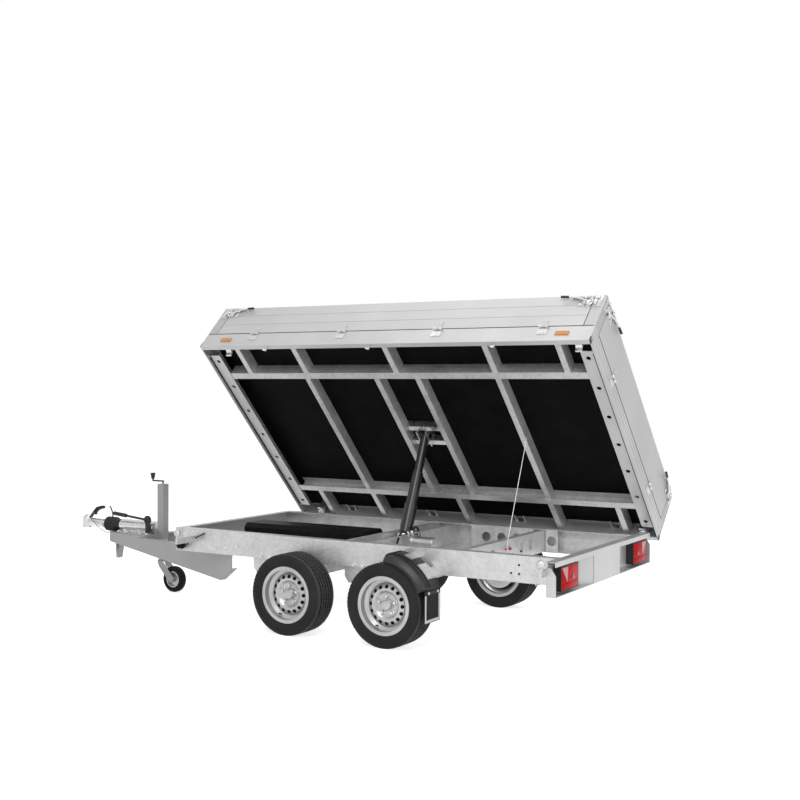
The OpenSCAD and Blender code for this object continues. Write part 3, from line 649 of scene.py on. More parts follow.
    def _dust(self) -> bpy.types.NodeTree:
        """Makes pale dust that gathers in patches over a colour.

        Returns:
            The group.
        """
        n, i, end = self._start(Effect.DUST.value, (
            ("Vector", "Vector", None), ("Colour", "Color", (0.5, 0.5, 0.5, 1)),
            ("Dust", "Color", (0.4, 0.38, 0.35, 1)), ("Amount", "Float", 0.1),
            ("Scale", "Float", 8.0)), {"Colour": "Color"})
        patch = n.noise(i["Vector"], Scale=i["Scale"], Detail=6.0, Roughness=0.65)
        share = n.spread(patch, 0.0, i["Amount"], 0.42, 0.75)
        return self._close(n, end, Colour=n.mix(share, i["Colour"], i["Dust"]))


@dataclass(frozen=True)
class Finish:
    """One finish: its two tones, its gloss, its effect and how strongly that shows.

    Attributes:
        name: Name of the finish.
        slot: The record's slot that it belongs to, or an empty string.
        light: The lighter tone.
        dark: The darker tone.
        rough: Lowest and highest roughness.
        effect: The shared effect that it is made with.
        scale: Scale of the effect per metre.
        metallic: 1 for bare metal.
        bump: Height of the relief in metres.
        dust: How much dust shows at most.
        coat: Weight of a clear coat.
        edge: Radius in metres at which hard edges catch the light.
        sheen: Level of the mirror reflection, 0.5 for most materials.
    """

    name: str
    slot: str
    light: Colour
    dark: Colour
    rough: tuple[float, float]
    effect: Effect = Effect.MOTTLE
    scale: float = 300.0
    metallic: float = 0.0
    bump: float = 0.0002
    dust: float = 0.0
    coat: float = 0.0
    edge: float = 0.0
    sheen: float = 0.5

    def material(self) -> bpy.types.Material:
        """The finish's material, built when it is first asked for."""
        return bpy.data.materials.get(f"look_{self.name}") or self._build()

    def _build(self) -> bpy.types.Material:
        """Builds the material from the shared groups.

        Returns:
            The material.
        """
        made = bpy.data.materials.new(f"look_{self.name}")
        n = Nodes.fresh(made)
        made.diffuse_color = (*self.light, 1.0)
        where = n.add("ShaderNodeTexCoord").outputs["Object"]
        grain = n.add("ShaderNodeGroup", {"node_tree": self.effect.group()}, Vector=where,
                      Light=(*self.light, 1), Dark=(*self.dark, 1), Scale=self.scale,
                      Rough_Low=self.rough[0], Rough_High=self.rough[1])
        colour = grain.outputs["Colour"]
        if self.dust:
            colour = n.add("ShaderNodeGroup", {"node_tree": Effect.DUST.group()}, Vector=where,
                           Colour=colour, Amount=self.dust).outputs["Colour"]
        relief = n.add("ShaderNodeBump", Strength=0.6, Distance=self.bump,
                       Height=grain.outputs["Height"])
        if self.edge:
            soft = n.add("ShaderNodeBevel", {"samples": 4}, Radius=self.edge)
            n.feed(relief.inputs["Normal"], soft.outputs[0])
        skin = n.add("ShaderNodeBsdfPrincipled", Base_Color=colour, Metallic=self.metallic,
                     Roughness=grain.outputs["Roughness"], Coat_Weight=self.coat,
                     Coat_Roughness=0.08, Specular_IOR_Level=self.sheen,
                     Normal=relief.outputs["Normal"])
        n.add("ShaderNodeOutputMaterial", Surface=skin.outputs["BSDF"])
        return made


ZINC = Finish("galvanised_steel", "galvanised_steel", (0.72, 0.723, 0.728), (0.49, 0.493, 0.497),
              (0.28, 0.50), Effect.SPANGLE, 70.0, 0.45, 0.0002, edge=0.002)
BRIGHT_ZINC = Finish("bright_zinc", "galvanised_steel", (0.72, 0.72, 0.71), (0.50, 0.50, 0.50),
                     (0.18, 0.36), Effect.SPANGLE, 140.0, 0.9, 0.0001)
PROFILE = Finish("rolled_profile", "galvanised_steel", (0.62, 0.622, 0.625), (0.50, 0.502, 0.505),
                 (0.30, 0.46), Effect.BRUSHED, 150.0, 0.4, 0.00012, edge=0.002)
PLAIN_ZINC = Finish("plain_zinc", "galvanised_steel", (0.395, 0.397, 0.40), (0.33, 0.332, 0.335),
                    (0.34, 0.5), Effect.BRUSHED, 150.0, 0.3, 0.00012, edge=0.002)
POST_ZINC = Finish("post_zinc", "galvanised_steel", (0.52, 0.522, 0.525), (0.45, 0.452, 0.455),
                   (0.34, 0.5), Effect.BRUSHED, 150.0, 0.3, 0.00012, edge=0.002)
SHEET = Finish("board_sheet", "board_aluminium", (0.62, 0.62, 0.625), (0.53, 0.53, 0.535),
               (0.40, 0.55), Effect.BRUSHED, 260.0, 0.25, 0.00012, edge=0.002)
WHEEL_PAINT = Finish("wheel_silver", "wheel_silver", (0.52, 0.52, 0.525), (0.40, 0.40, 0.405),
                     (0.28, 0.42), Effect.MOTTLE, 500.0, 0.55, 0.00006, 0.10, 0.25, edge=0.0015)
TYRE_RUBBER = Finish("tyre_rubber", "tyre_rubber", (0.032, 0.032, 0.033), (0.020, 0.020, 0.021),
                     (0.65, 0.88), Effect.MOTTLE, 420.0, 0.0, 0.0003, sheen=0.15)
SOFT_RUBBER = Finish("black_rubber", "black_rubber", (0.022, 0.022, 0.022), (0.012, 0.012, 0.012),
                     (0.5, 0.7), Effect.MOTTLE, 500.0, 0.0, 0.0002, 0.04, sheen=0.25)
PLASTIC = Finish("black_plastic", "black_plastic", (0.024, 0.024, 0.025), (0.012, 0.012, 0.013),
                 (0.36, 0.52), Effect.MOTTLE, 900.0, 0.0, 0.00015, 0.03, edge=0.0015, sheen=0.3)
FILM_PLY = Finish("floor_board", "floor_board", (0.006, 0.0055, 0.0055), (0.002, 0.002, 0.002),
                  (0.55, 0.70), Effect.MOTTLE, 160.0, 0.0, 0.00008, sheen=0.04)
RAM_PAINT = Finish("ram_black", "ram_black", (0.020, 0.020, 0.021), (0.008, 0.008, 0.009),
                   (0.16, 0.28), Effect.MOTTLE, 200.0, 0.0, 0.00004, 0.0, 0.1, sheen=0.35)
CASTING = Finish("pump_metal", "pump_metal", (0.72, 0.72, 0.73), (0.46, 0.46, 0.47),
                 (0.28, 0.45), Effect.MOTTLE, 350.0, 0.8, 0.0002, 0.05, edge=0.0015)
TREAD_RUBBER = Finish("tread_rubber", "tyre_rubber", (0.088, 0.088, 0.089), (0.060, 0.060, 0.061),
                      (0.65, 0.88), Effect.MOTTLE, 420.0, 0.0, 0.0003, sheen=0.15)
BOX_PAINT = Finish("box_paint", "black_plastic", (0.008, 0.008, 0.009), (0.003, 0.003, 0.004),
                   (0.40, 0.60), Effect.MOTTLE, 300.0, 0.0, 0.00012, 0.02, edge=0.003, sheen=0.07)
MOULDED = Finish("moulded_fender", "black_plastic", (0.018, 0.018, 0.019), (0.009, 0.009, 0.010),
                 (0.30, 0.46), Effect.MOTTLE, 900.0, 0.0, 0.00015, 0.03, edge=0.012, sheen=0.4)
CASTOR_RUBBER = Finish("castor_rubber", "tyre_rubber", (0.012, 0.012, 0.012), (0.006, 0.006, 0.006),
                       (0.5, 0.7), Effect.MOTTLE, 420.0, 0.0, 0.0002, sheen=0.12)
# Painted shade: near-black rubber, darker than the tyre, for the rings between the tread ribs that
# stand in for the shade there.
GROOVE_SHADE = Finish("groove_shade_rubber", "tyre_rubber", (0.010, 0.010, 0.010), (0.005, 0.005, 0.005),
                (0.8, 0.95), Effect.MOTTLE, 420.0, 0.0, 0.0002, sheen=0.05)
# Painted shade: a near-black finish for discs laid over holes and vent holes, standing in for the
# shade inside them.
HOLE_SHADE = Finish("painted_hole_shade", "galvanised_steel", (0.010, 0.010, 0.010), (0.004, 0.004, 0.004),
                   (0.6, 0.8), Effect.MOTTLE, 500.0, sheen=0.05)
RED_LENS = Finish("lens_red", "lens_red", (0.70, 0.002, 0.006), (0.44, 0.001, 0.003),
                  (0.16, 0.28), Effect.PRISM, 130.0, 0.0, 0.0006, sheen=0.03)
CLEAR_LENS = Finish("lens_clear", "lens_red", (0.70, 0.34, 0.33), (0.50, 0.16, 0.16),
                    (0.08, 0.18), Effect.PRISM, 110.0, 0.0, 0.0006, 0.0, 0.2, sheen=0.2)
AMBER = Finish("reflector_amber", "reflector_amber", (0.85, 0.36, 0.012), (0.55, 0.16, 0.003),
               (0.10, 0.2), Effect.PRISM, 240.0, 0.0, 0.0005, 0.0, 0.5)
WHITE = Finish("white_print", "black_rubber", (0.72, 0.72, 0.72), (0.62, 0.62, 0.62), (0.4, 0.5),
               Effect.MOTTLE, 600.0)
SIGNAL_RED = Finish("signal_red", "lens_red", (0.50, 0.02, 0.02), (0.36, 0.012, 0.012), (0.3, 0.45),
                    Effect.MOTTLE, 700.0)


@dataclass
class StudioRig:
    """White studio: camera, ground that keeps the shadow, lights and surroundings.

    Attributes:
        eye: Where the camera stands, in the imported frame.
        heading: How far the camera looks to the right of straight ahead, in degrees.
        rise: How far it looks up, in degrees.
        roll: How far it leans, in degrees.
        lens: Its focal length in millimetres.
        sensor: Width of its sensor in millimetres.
        ground: Height of the ground.
        ground_radius: How far the ground reaches.
        aim: The point that the lights face.
        lamps: Each light's place, size and power in watts, by name.
        soft_light: Strength of the light from all round.
        glow: Strength of the light that lifts the ground to plain white.
    """

    eye: Point = (-7.1313, 7.0882, 1.1351)
    heading: float = 59.435
    rise: float = -0.727
    roll: float = 0.193
    lens: float = 53.87
    sensor: float = 36.0
    ground: float = -0.475
    ground_radius: float = 90.0
    aim: Point = (-2.9, 0.0, 0.3)
    lamps: dict[str, tuple[Point, Point, float]] = field(default_factory=lambda: {
        "key_light": ((-5.5, 5.5, 6.0), (5.0, 4.0), 330.0),
        "fill_light": ((-9.5, 1.5, 2.2), (4.0, 4.0), 70.0),
        "top_light": ((-2.5, -2.5, 6.5), (7.0, 4.0), 150.0)})
    soft_light: float = 0.27
    glow: float = 0.78

    def camera(self) -> bpy.types.Object:
        """Sets the camera up.

        Returns:
            The camera.
        """
        a, e, r = (math.radians(x) for x in (self.heading, self.rise, self.roll))
        ahead = Vector((math.cos(a) * math.cos(e), -math.sin(a) * math.cos(e), math.sin(e)))
        right = ahead.cross(Vector(Z_AXIS)).normalized()
        up = right.cross(ahead)
        right, up = (math.cos(r) * right + math.sin(r) * up, math.cos(r) * up - math.sin(r) * right)
        data = bpy.data.cameras.new("studio_camera")
        data.sensor_width, data.lens = self.sensor, self.lens
        data.clip_start, data.clip_end = 0.1, 400.0
        camera = add_object("studio_camera", data)
        turn = Matrix((right, up, -ahead)).transposed().to_4x4()
        camera.matrix_world = Matrix.Translation(Vector(self.eye)) @ turn
        bpy.context.scene.camera = camera
        return camera

    def lights(self) -> None:
        """Hangs the soft rectangular lights."""
        for name, (place, size, power) in self.lamps.items():
            data = bpy.data.lights.new(name, "AREA")
            data.shape = "RECTANGLE"
            data.size, data.size_y = size
            data.energy = power
            lamp = add_object(name, data)
            lamp.location = place
            lamp.rotation_mode = "QUATERNION"
            lamp.rotation_quaternion = (Vector(self.aim) - Vector(place)).to_track_quat("-Z", "Y")

    def world(self) -> None:
        """Surrounds the scene with white that the camera sees and soft light that it doesn't."""
        world = bpy.data.worlds.new("studio_white")
        bpy.context.scene.world = world
        n = Nodes.fresh(world)
        back = n.add("ShaderNodeBackground", Color=(1, 1, 1, 1),
                     Strength=n.spread(n.in_sight(), self.soft_light, 1.0))
        n.add("ShaderNodeOutputWorld", Surface=back.outputs[0])

    def floor(self) -> bpy.types.Object:
        """Lays the white ground that keeps the shadow.

        Returns:
            The ground.
        """
        mesh = bmesh.new()
        bmesh.ops.create_circle(mesh, cap_ends=True, segments=96, radius=self.ground_radius)
        bmesh.ops.translate(mesh, vec=(-2.5, 0, self.ground - 0.0005), verts=mesh.verts)
        data = bpy.data.meshes.new("studio_floor")
        mesh.to_mesh(data)
        mesh.free()
        data.materials.append(self._floor_white())
        floor = add_object("studio_floor", data)
        return floor

    def _floor_white(self) -> bpy.types.Material:
        """Makes the ground's white: the light lifts it to plain white, and only shadow shows.

        Returns:
            The material.
        """
        made = bpy.data.materials.new("studio_floor")
        n = Nodes.fresh(made)
        cloud = n.noise(n.add("ShaderNodeTexCoord").outputs["Object"], Scale=0.4)
        colour = n.mix(cloud, (0.93, 0.93, 0.93, 1), (0.95, 0.95, 0.95, 1))
        matt = n.add("ShaderNodeBsdfDiffuse", Color=colour).outputs[0]
        glow = n.add("ShaderNodeEmission", Color=(1, 1, 1, 1), Strength=self.glow).outputs[0]
        both = n.ordered("ShaderNodeAddShader", {}, {0: matt, 1: glow}).outputs[0]
        plain = n.ordered("ShaderNodeMixShader", {}, {0: n.in_sight(), 1: matt, 2: both})
        n.add("ShaderNodeOutputMaterial", Surface=plain.outputs[0])
        return made

    def build(self) -> None:
        """Builds everything round the trailer; the camera comes before it."""
        self.lights()
        self.world()
        self.floor()
        bpy.context.scene.view_settings.view_transform = "Standard"


@dataclass
class FrameDress:
    """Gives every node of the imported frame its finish, by the record's slots.

    Attributes:
        by_slot: The usual finish of each slot.
        special: Finishes of single nodes.
    """

    by_slot: dict[str, Finish] = field(default_factory=lambda: {
        f.slot: f for f in (ZINC, SHEET, WHEEL_PAINT, TYRE_RUBBER, SOFT_RUBBER, PLASTIC, FILM_PLY,
                            RAM_PAINT, CASTING, RED_LENS, AMBER)})
    special: dict[str, Finish] = field(default_factory=lambda: {
        **dict.fromkeys(("pivot_claws", "hinge_leaves", "overrun_housing", "coupling_head",
                         "ram_bracket"), BRIGHT_ZINC),
        **dict.fromkeys(("bed_side_profiles", "bed_end_profiles", "rear_beam", "front_beam"),
                        PROFILE),
        **dict.fromkeys(("drawbar", "jockey_post", "front_foot", "jockey_fork"), PLAIN_ZINC),
        "jockey_tyre": CASTOR_RUBBER, "corner_posts": POST_ZINC,
        "fenders": MOULDED, "mudflaps": CASTOR_RUBBER, "storage_box": BOX_PAINT})

    def build(self, frame: dict) -> None:
        """Dresses the nodes.

        Args:
            frame: The loaded frame, with its record and its nodes.
        """
        for row in frame["record"]["subparts"]:
            finish = self.special.get(row["node"]) or self.by_slot[row["material_slot"]]
            data = frame["nodes"][row["node"]].data
            data.materials.clear()
            data.materials.append(finish.material())


@dataclass
class RoadWheels:
    """Tyres with their tread, and what is bolted to the wheels.

    Attributes:
        centre_y: Distance of the tyre's middle from the trailer's middle.
        centre_z: Height of the wheel centre.
        outline: Half of the tyre's outline, radius against distance from its middle.
        floor: Radius of the tread's floor.
        floor_half: Half of the floor's width.
        facets: Facets round the tyre.
        ribs: Tread ribs as (inner distance from the tyre's middle, outer distance, share of the
            pitch that a block fills, radius of its face).
        shade_rings: The edges of the dark rings of painted shade between the tread ribs, as
            distances from the tyre's middle.
        groove_face: Radius of those rings' face.
        blocks: Tread blocks round the tyre.
        lean: Skew of a block's edges, as a share of the pitch.
        bolts: Wheel bolts.
        bolt_circle: Radius that they lie on.
        vent_shades: Vent holes, each covered by a dark disc of painted shade.
        vent_circle: Radius that they lie on.
        valve: Angle of the valve in degrees.
    """

    centre_y: float = 795.0
    centre_z: float = 262.5
    outline: tuple[tuple[float, float], ...] = (
        (165.4, 78.0), (171, 81), (183.5, 79.5), (188, 86), (193, 92.5), (197, 95.8), (199, 95.0),
        (206, 97.5), (216, 98.4), (219, 97.4), (221, 98.4), (232, 96.8), (241, 94.2), (250, 89.5),
        (255.0, 85.5))
    floor: float = 255.0
    floor_half: float = 70.0
    facets: int = 96
    ribs: tuple[tuple[float, float, float, float], ...] = (
        (6, 22, 0.84, 262.3), (33, 48, 0.84, 262.3), (60, 84, 0.90, 261))
    shade_rings: tuple[tuple[float, float], ...] = (
        (-6.5, 6.5), (21.5, 33.5), (47.5, 60.5), (-33.5, -21.5), (-60.5, -47.5))
    groove_face: float = 259.6
    blocks: int = 60
    lean: float = 0.35
    bolts: int = 5
    bolt_circle: float = 56.0
    vent_shades: int = 16
    vent_circle: float = 113.0
    valve: float = -64.0

    def _tyre(self, axle: str, side: str, centre: Vector) -> None:
        """Makes one tyre, which stands for the plain one.

        Args:
            axle: Name of its axle.
            side: Name of its side.
            centre: The wheel's centre.
        """
        name, body, foot = f"{axle}_{side}", f"wheel_{axle}_{side}", self.floor - 4
        tread, shade_rings = Shape(), Shape()
        for low, high, share, face in self.ribs:
            for sign, shift in ((1, 0.25), (-1, 0)):
                for k in range(self.blocks):
                    tread.tread(centre, math.tau * (k + shift) / self.blocks,
                                math.tau / self.blocks * share, (low * sign, high * sign),
                                (self.floor - 3, face), self.lean * math.tau / self.blocks * sign)
        # Near-black rings at the foot of the tread, between the ribs, paint the shade there.
        for low, high in self.shade_rings:
            section = [(foot, low), (self.groove_face, low), (self.groove_face, high), (foot, high)]
            shade_rings.turned(section, centre, Y_AXIS, self.facets, closed=True)
        shade_rings.make(f"{name}_tread_shade_rings", GROOVE_SHADE, body)
        loop = [*self.outline, (self.floor, self.floor_half), (self.floor, -self.floor_half),
                *((r, -y) for r, y in reversed(self.outline))]
        piece = Shape().turned(loop, centre, Y_AXIS, self.facets, closed=True).make(
            f"{name}_road_tyre", TYRE_RUBBER, body, sharp=28)
        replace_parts(piece, f"tyre_{axle}_{side}")
        tread.make(f"{name}_tread", TREAD_RUBBER, body)

    def _fittings(self, name: str, hub: Vector, out: Vector) -> None:
        """Makes one wheel's bolts, dark discs of painted shade over its vent holes, hub cap rings
        and valve.

        Args:
            name: Axle and side.
            hub: The wheel's centre.
            out: The way that its face looks.
        """
        bolts, vent_shades, trim, body = Shape(), Shape(), Shape(), f"wheel_{name}"
        for k in range(self.bolts):
            way = round_y(self.bolt_circle, math.tau * (k + 0.25) / self.bolts)
            seat = hub + out * 27 + way
            bolts.turned([(13, 0), (13, 2), (10.5, 4)], seat, out, 24)
            bolts.turned([(10.8, 0), (10.8, 12), (9, 15), (5, 15.4)], seat + out * 3, out, 6)
        bolts.make(f"{name}_wheel_bolts", CASTING, body)
        # Dark discs of painted shade over the vent holes.
        for k in range(self.vent_shades):
            way = round_y(1, math.tau * k / self.vent_shades)
            vent_shades.turned([(12.5, 0), (12.5, 0.5), (11, 0.9)],
                         hub + way * self.vent_circle + out * 42.4, way * 0.406 + out * 0.914, 18)
        vent_shades.make(f"{name}_vents", HOLE_SHADE, body)
        trim.turned([(36, 0), (37, 2), (36.5, 5), (34.5, 6)], hub + out * 27.5, out, 40)
        trim.turned([(29, 0), (29, 1.5), (24, 3.5), (12, 4.6), (0, 4.8)], hub + out * 53.5, out, 40)
        trim.make(f"{name}_hub_trim", WHEEL_PAINT, body)
        way = round_y(1, math.radians(self.valve))
        root = hub + way * 150 + out * 30
        tip = root + out * 30 - way * 8
        valve = Shape().pin(root, tip, 4.2, 12, 1)
        valve.pin(tip - (tip - root) * 0.3, tip + out * 6, 5, 12, 1.4)
        valve.make(f"{name}_valve", PLASTIC, body)

    def build(self) -> None:
        """Builds all four wheels' pieces."""
        for axle, x in AXLES.items():
            for side, sign in SIDES.items():
                centre = Vector((x, sign * self.centre_y, self.centre_z))
                self._tyre(axle, side, centre)
                self._fittings(f"{axle}_{side}", centre, Vector((0, sign, 0)))


@dataclass
class Fenders:
    """Rolled edges and plates of the fenders, and the edges of the flaps under them.

    Attributes:
        hub: The rear wheels' axis.
        start: Where a fender starts, in degrees.
        end: Where it ends.
        beads: (radius, y, trim in degrees, half thickness, facets) of the beads round the wheel.
        front: (radius, y) of the bead across the front edge.
        skin: (radius, y) of the shoulder's face.
        skin_thick: The shoulder's thickness.
        plate: (radius, y) corners of the bright plate.
        plate_start: Where the plate starts, in degrees.
        plate_span: How far it goes round.
        flap_face: The x of a flap's rear face.
        flap_y: Its inner and outer edge.
        flap_z: Its foot and its top.
    """

    hub: Point = (AXLES["rear"], 0.0, 262.5)
    start: float = 92.0
    end: float = 158.0
    beads: tuple[tuple[float, float, float, float, int], ...] = (
        (314, 692, 1, 4.5, 12), (281, 893, 1, 5, 12), (317.6, 846, 2, 3.6, 10),
        (317.6, 808, 2, 3.6, 10))
    front: tuple[Point, ...] = ((313, 694), (313, 780), (312, 850), (302, 872), (281, 892))
    skin: tuple[Point, ...] = ((318, 806), (318, 852), (316.5, 860), (311, 867.5), (302, 876.5),
                               (293, 885), (285, 892.5), (280, 895.5))
    skin_thick: float = 3.5
    plate: tuple[Point, ...] = ((318, 692), (318, 802), (321.5, 802), (321.5, 692))
    plate_start: float = 127.0
    plate_span: float = 20.0
    flap_face: float = 806.1
    flap_y: Point = (700.0, 891.0)
    flap_z: Point = (181.0, 379.0)

    def _stations(self, start: float, span: float, steps: int) -> list[float]:
        """Even angles in radians, from a start and a span in degrees."""
        return [math.radians(start + span * i / steps) for i in range(steps + 1)]

    def _shell(self, side: str, sign: int) -> None:
        """Makes the beads, the shoulder and the plate of one fender.

        Args:
            side: Name of the side.
            sign: 1 on the left, -1 on the right.
        """
        hub, span, edge = Vector(self.hub), self.end - self.start, Shape()
        for radius, y, trim, thick, facets in self.beads:
            edge.tube([hub + round_y(radius, a, sign * y) for a in
                       self._stations(self.start + trim, span - 2 * trim, 24)], thick, facets)
        ahead = math.radians(self.start + 1)
        edge.tube(smooth_path([hub + round_y(radius, ahead, sign * y) for radius, y in self.front],
                              6), 8, 14)
        edge.make(f"{side}_fender_bead", MOULDED, "chassis")
        section = [(r, sign * y) for r, y in self.skin]
        section += [(r - self.skin_thick, sign * (y - self.skin_thick))
                    for r, y in reversed(self.skin)]
        Shape().sweep(section, hub, self._stations(self.start + 1, span - 2, 30)).make(
            f"{side}_fender_shoulder", MOULDED, "chassis", sharp=50)
        Shape().sweep([(r, sign * y) for r, y in self.plate], hub,
                      self._stations(self.plate_start, self.plate_span, 6)).make(
            f"{side}_fender_plate", BRIGHT_ZINC, "chassis")

    def _flap(self, side: str, sign: int) -> None:
        """Makes the white edge, the clamping strip and the screws of one flap.

        Args:
            side: Name of the side.
            sign: 1 on the left, -1 on the right.
        """
        face, (inner, outer), (low, high) = self.flap_face, self.flap_y, self.flap_z
        edge, strip, screws = Shape(), Shape(), Shape()
        for start, end, foot, top in ((outer - 20, outer - 3, low + 4, high - 30),
                                      (inner + 20.2, outer - 20.2, low + 4, low + 21),
                                      (inner + 3, inner + 20, low + 4, high - 30)):
            edge.block((face - 0.8, sign * start, foot), (face, sign * end, top))
        edge.make(f"{side}_flap_edge", WHITE, "chassis")
        strip.block((face - 3, sign * (inner + 4), high - 26),
                    (face + 0.5, sign * (outer - 4), high - 6), 1.2)
        strip.make(f"{side}_flap_strip", SOFT_RUBBER, "chassis")
        for y in (inner + 40, outer - 40):
            screws.bolt((face - 3, sign * y, high - 16), REARWARD, 10)
        screws.make(f"{side}_flap_screws", BRIGHT_ZINC, "chassis")

    def build(self) -> None:
        """Builds both sides' pieces."""
        for side, sign in SIDES.items():
            self._shell(side, sign)
            self._flap(side, sign)


@dataclass
class TailLamps:
    """Lens windows, reflector triangles and seals of the rear lamps.

    Attributes:
        inner: The y of a lamp's inner edge.
        outer: The y of its outer edge.
        low: Height of its lower edge.
        high: Height of its upper edge.
        triangle: Radius of the reflector triangle.
    """

    inner: float = 479.0
    outer: float = 733.0
    low: float = 428.0
    high: float = 570.0
    triangle: float = 17.0

    def _rim(self, side: str, sign: int) -> None:
        """Makes the seal round one lamp.

        Args:
            side: Name of the side.
            sign: 1 on the left, -1 on the right.
        """
        inner, outer, low, high = self.inner, self.outer, self.low, self.high
        out, over, seal = 1.5, 4, Shape()
        for z0, z1 in ((low - out, low + over), (high - over, high + out)):
            seal.block((-out, sign * (inner - out), z0), (9, sign * (outer + out), z1), 1.2)
        for y0, y1 in ((inner - out, inner + over), (outer - over, outer + out)):
            seal.block((-out, sign * y0, low), (9, sign * y1, high), 1.2)
        seal.make(f"{side}_lamp_rim", PLASTIC, "chassis")

    def _windows(self, side: str, sign: int) -> None:
        """Makes one lamp's red lens, its clear window and its triangle.

        Args:
            side: Name of the side.
            sign: 1 on the left, -1 on the right.
        """
        inner, outer, low, high = self.inner, self.outer, self.low, self.high
        middle, lens = (low + high) / 2, Shape()
        for z0, z1 in ((low + 5, middle - 30), (middle - 28, high - 5)):
            lens.block((-2.5, sign * (inner + 5), z0), (3, sign * (outer - 5), z1), 2)
        lens.make(f"{side}_lamp_glass", RED_LENS, "chassis")
        wedge = [(outer - 8, high - 8), (outer - 96, high - 8), (outer - 84, middle - 24)]
        Shape().plate([(sign * y, z) for y, z in wedge], (-4.2, 0, 0), Y_AXIS, Z_AXIS, 2.4, 0.6
                      ).make(f"{side}_lamp_window", CLEAR_LENS, "chassis")
        turns = [math.radians(90 + 120 * k) for k in range(3)]
        corners = [(math.cos(a) * self.triangle, math.sin(a) * self.triangle) for a in turns]
        Shape().plate(corners, (-4.4, sign * (inner + 84), middle - 4), (0, -1, 0), Z_AXIS, 2.4, 0.5
                      ).make(f"{side}_lamp_triangle", CLEAR_LENS, "chassis")

    def build(self) -> None:
        """Builds both lamps' pieces."""
        for side, sign in SIDES.items():
            self._rim(side, sign)
            self._windows(side, sign)


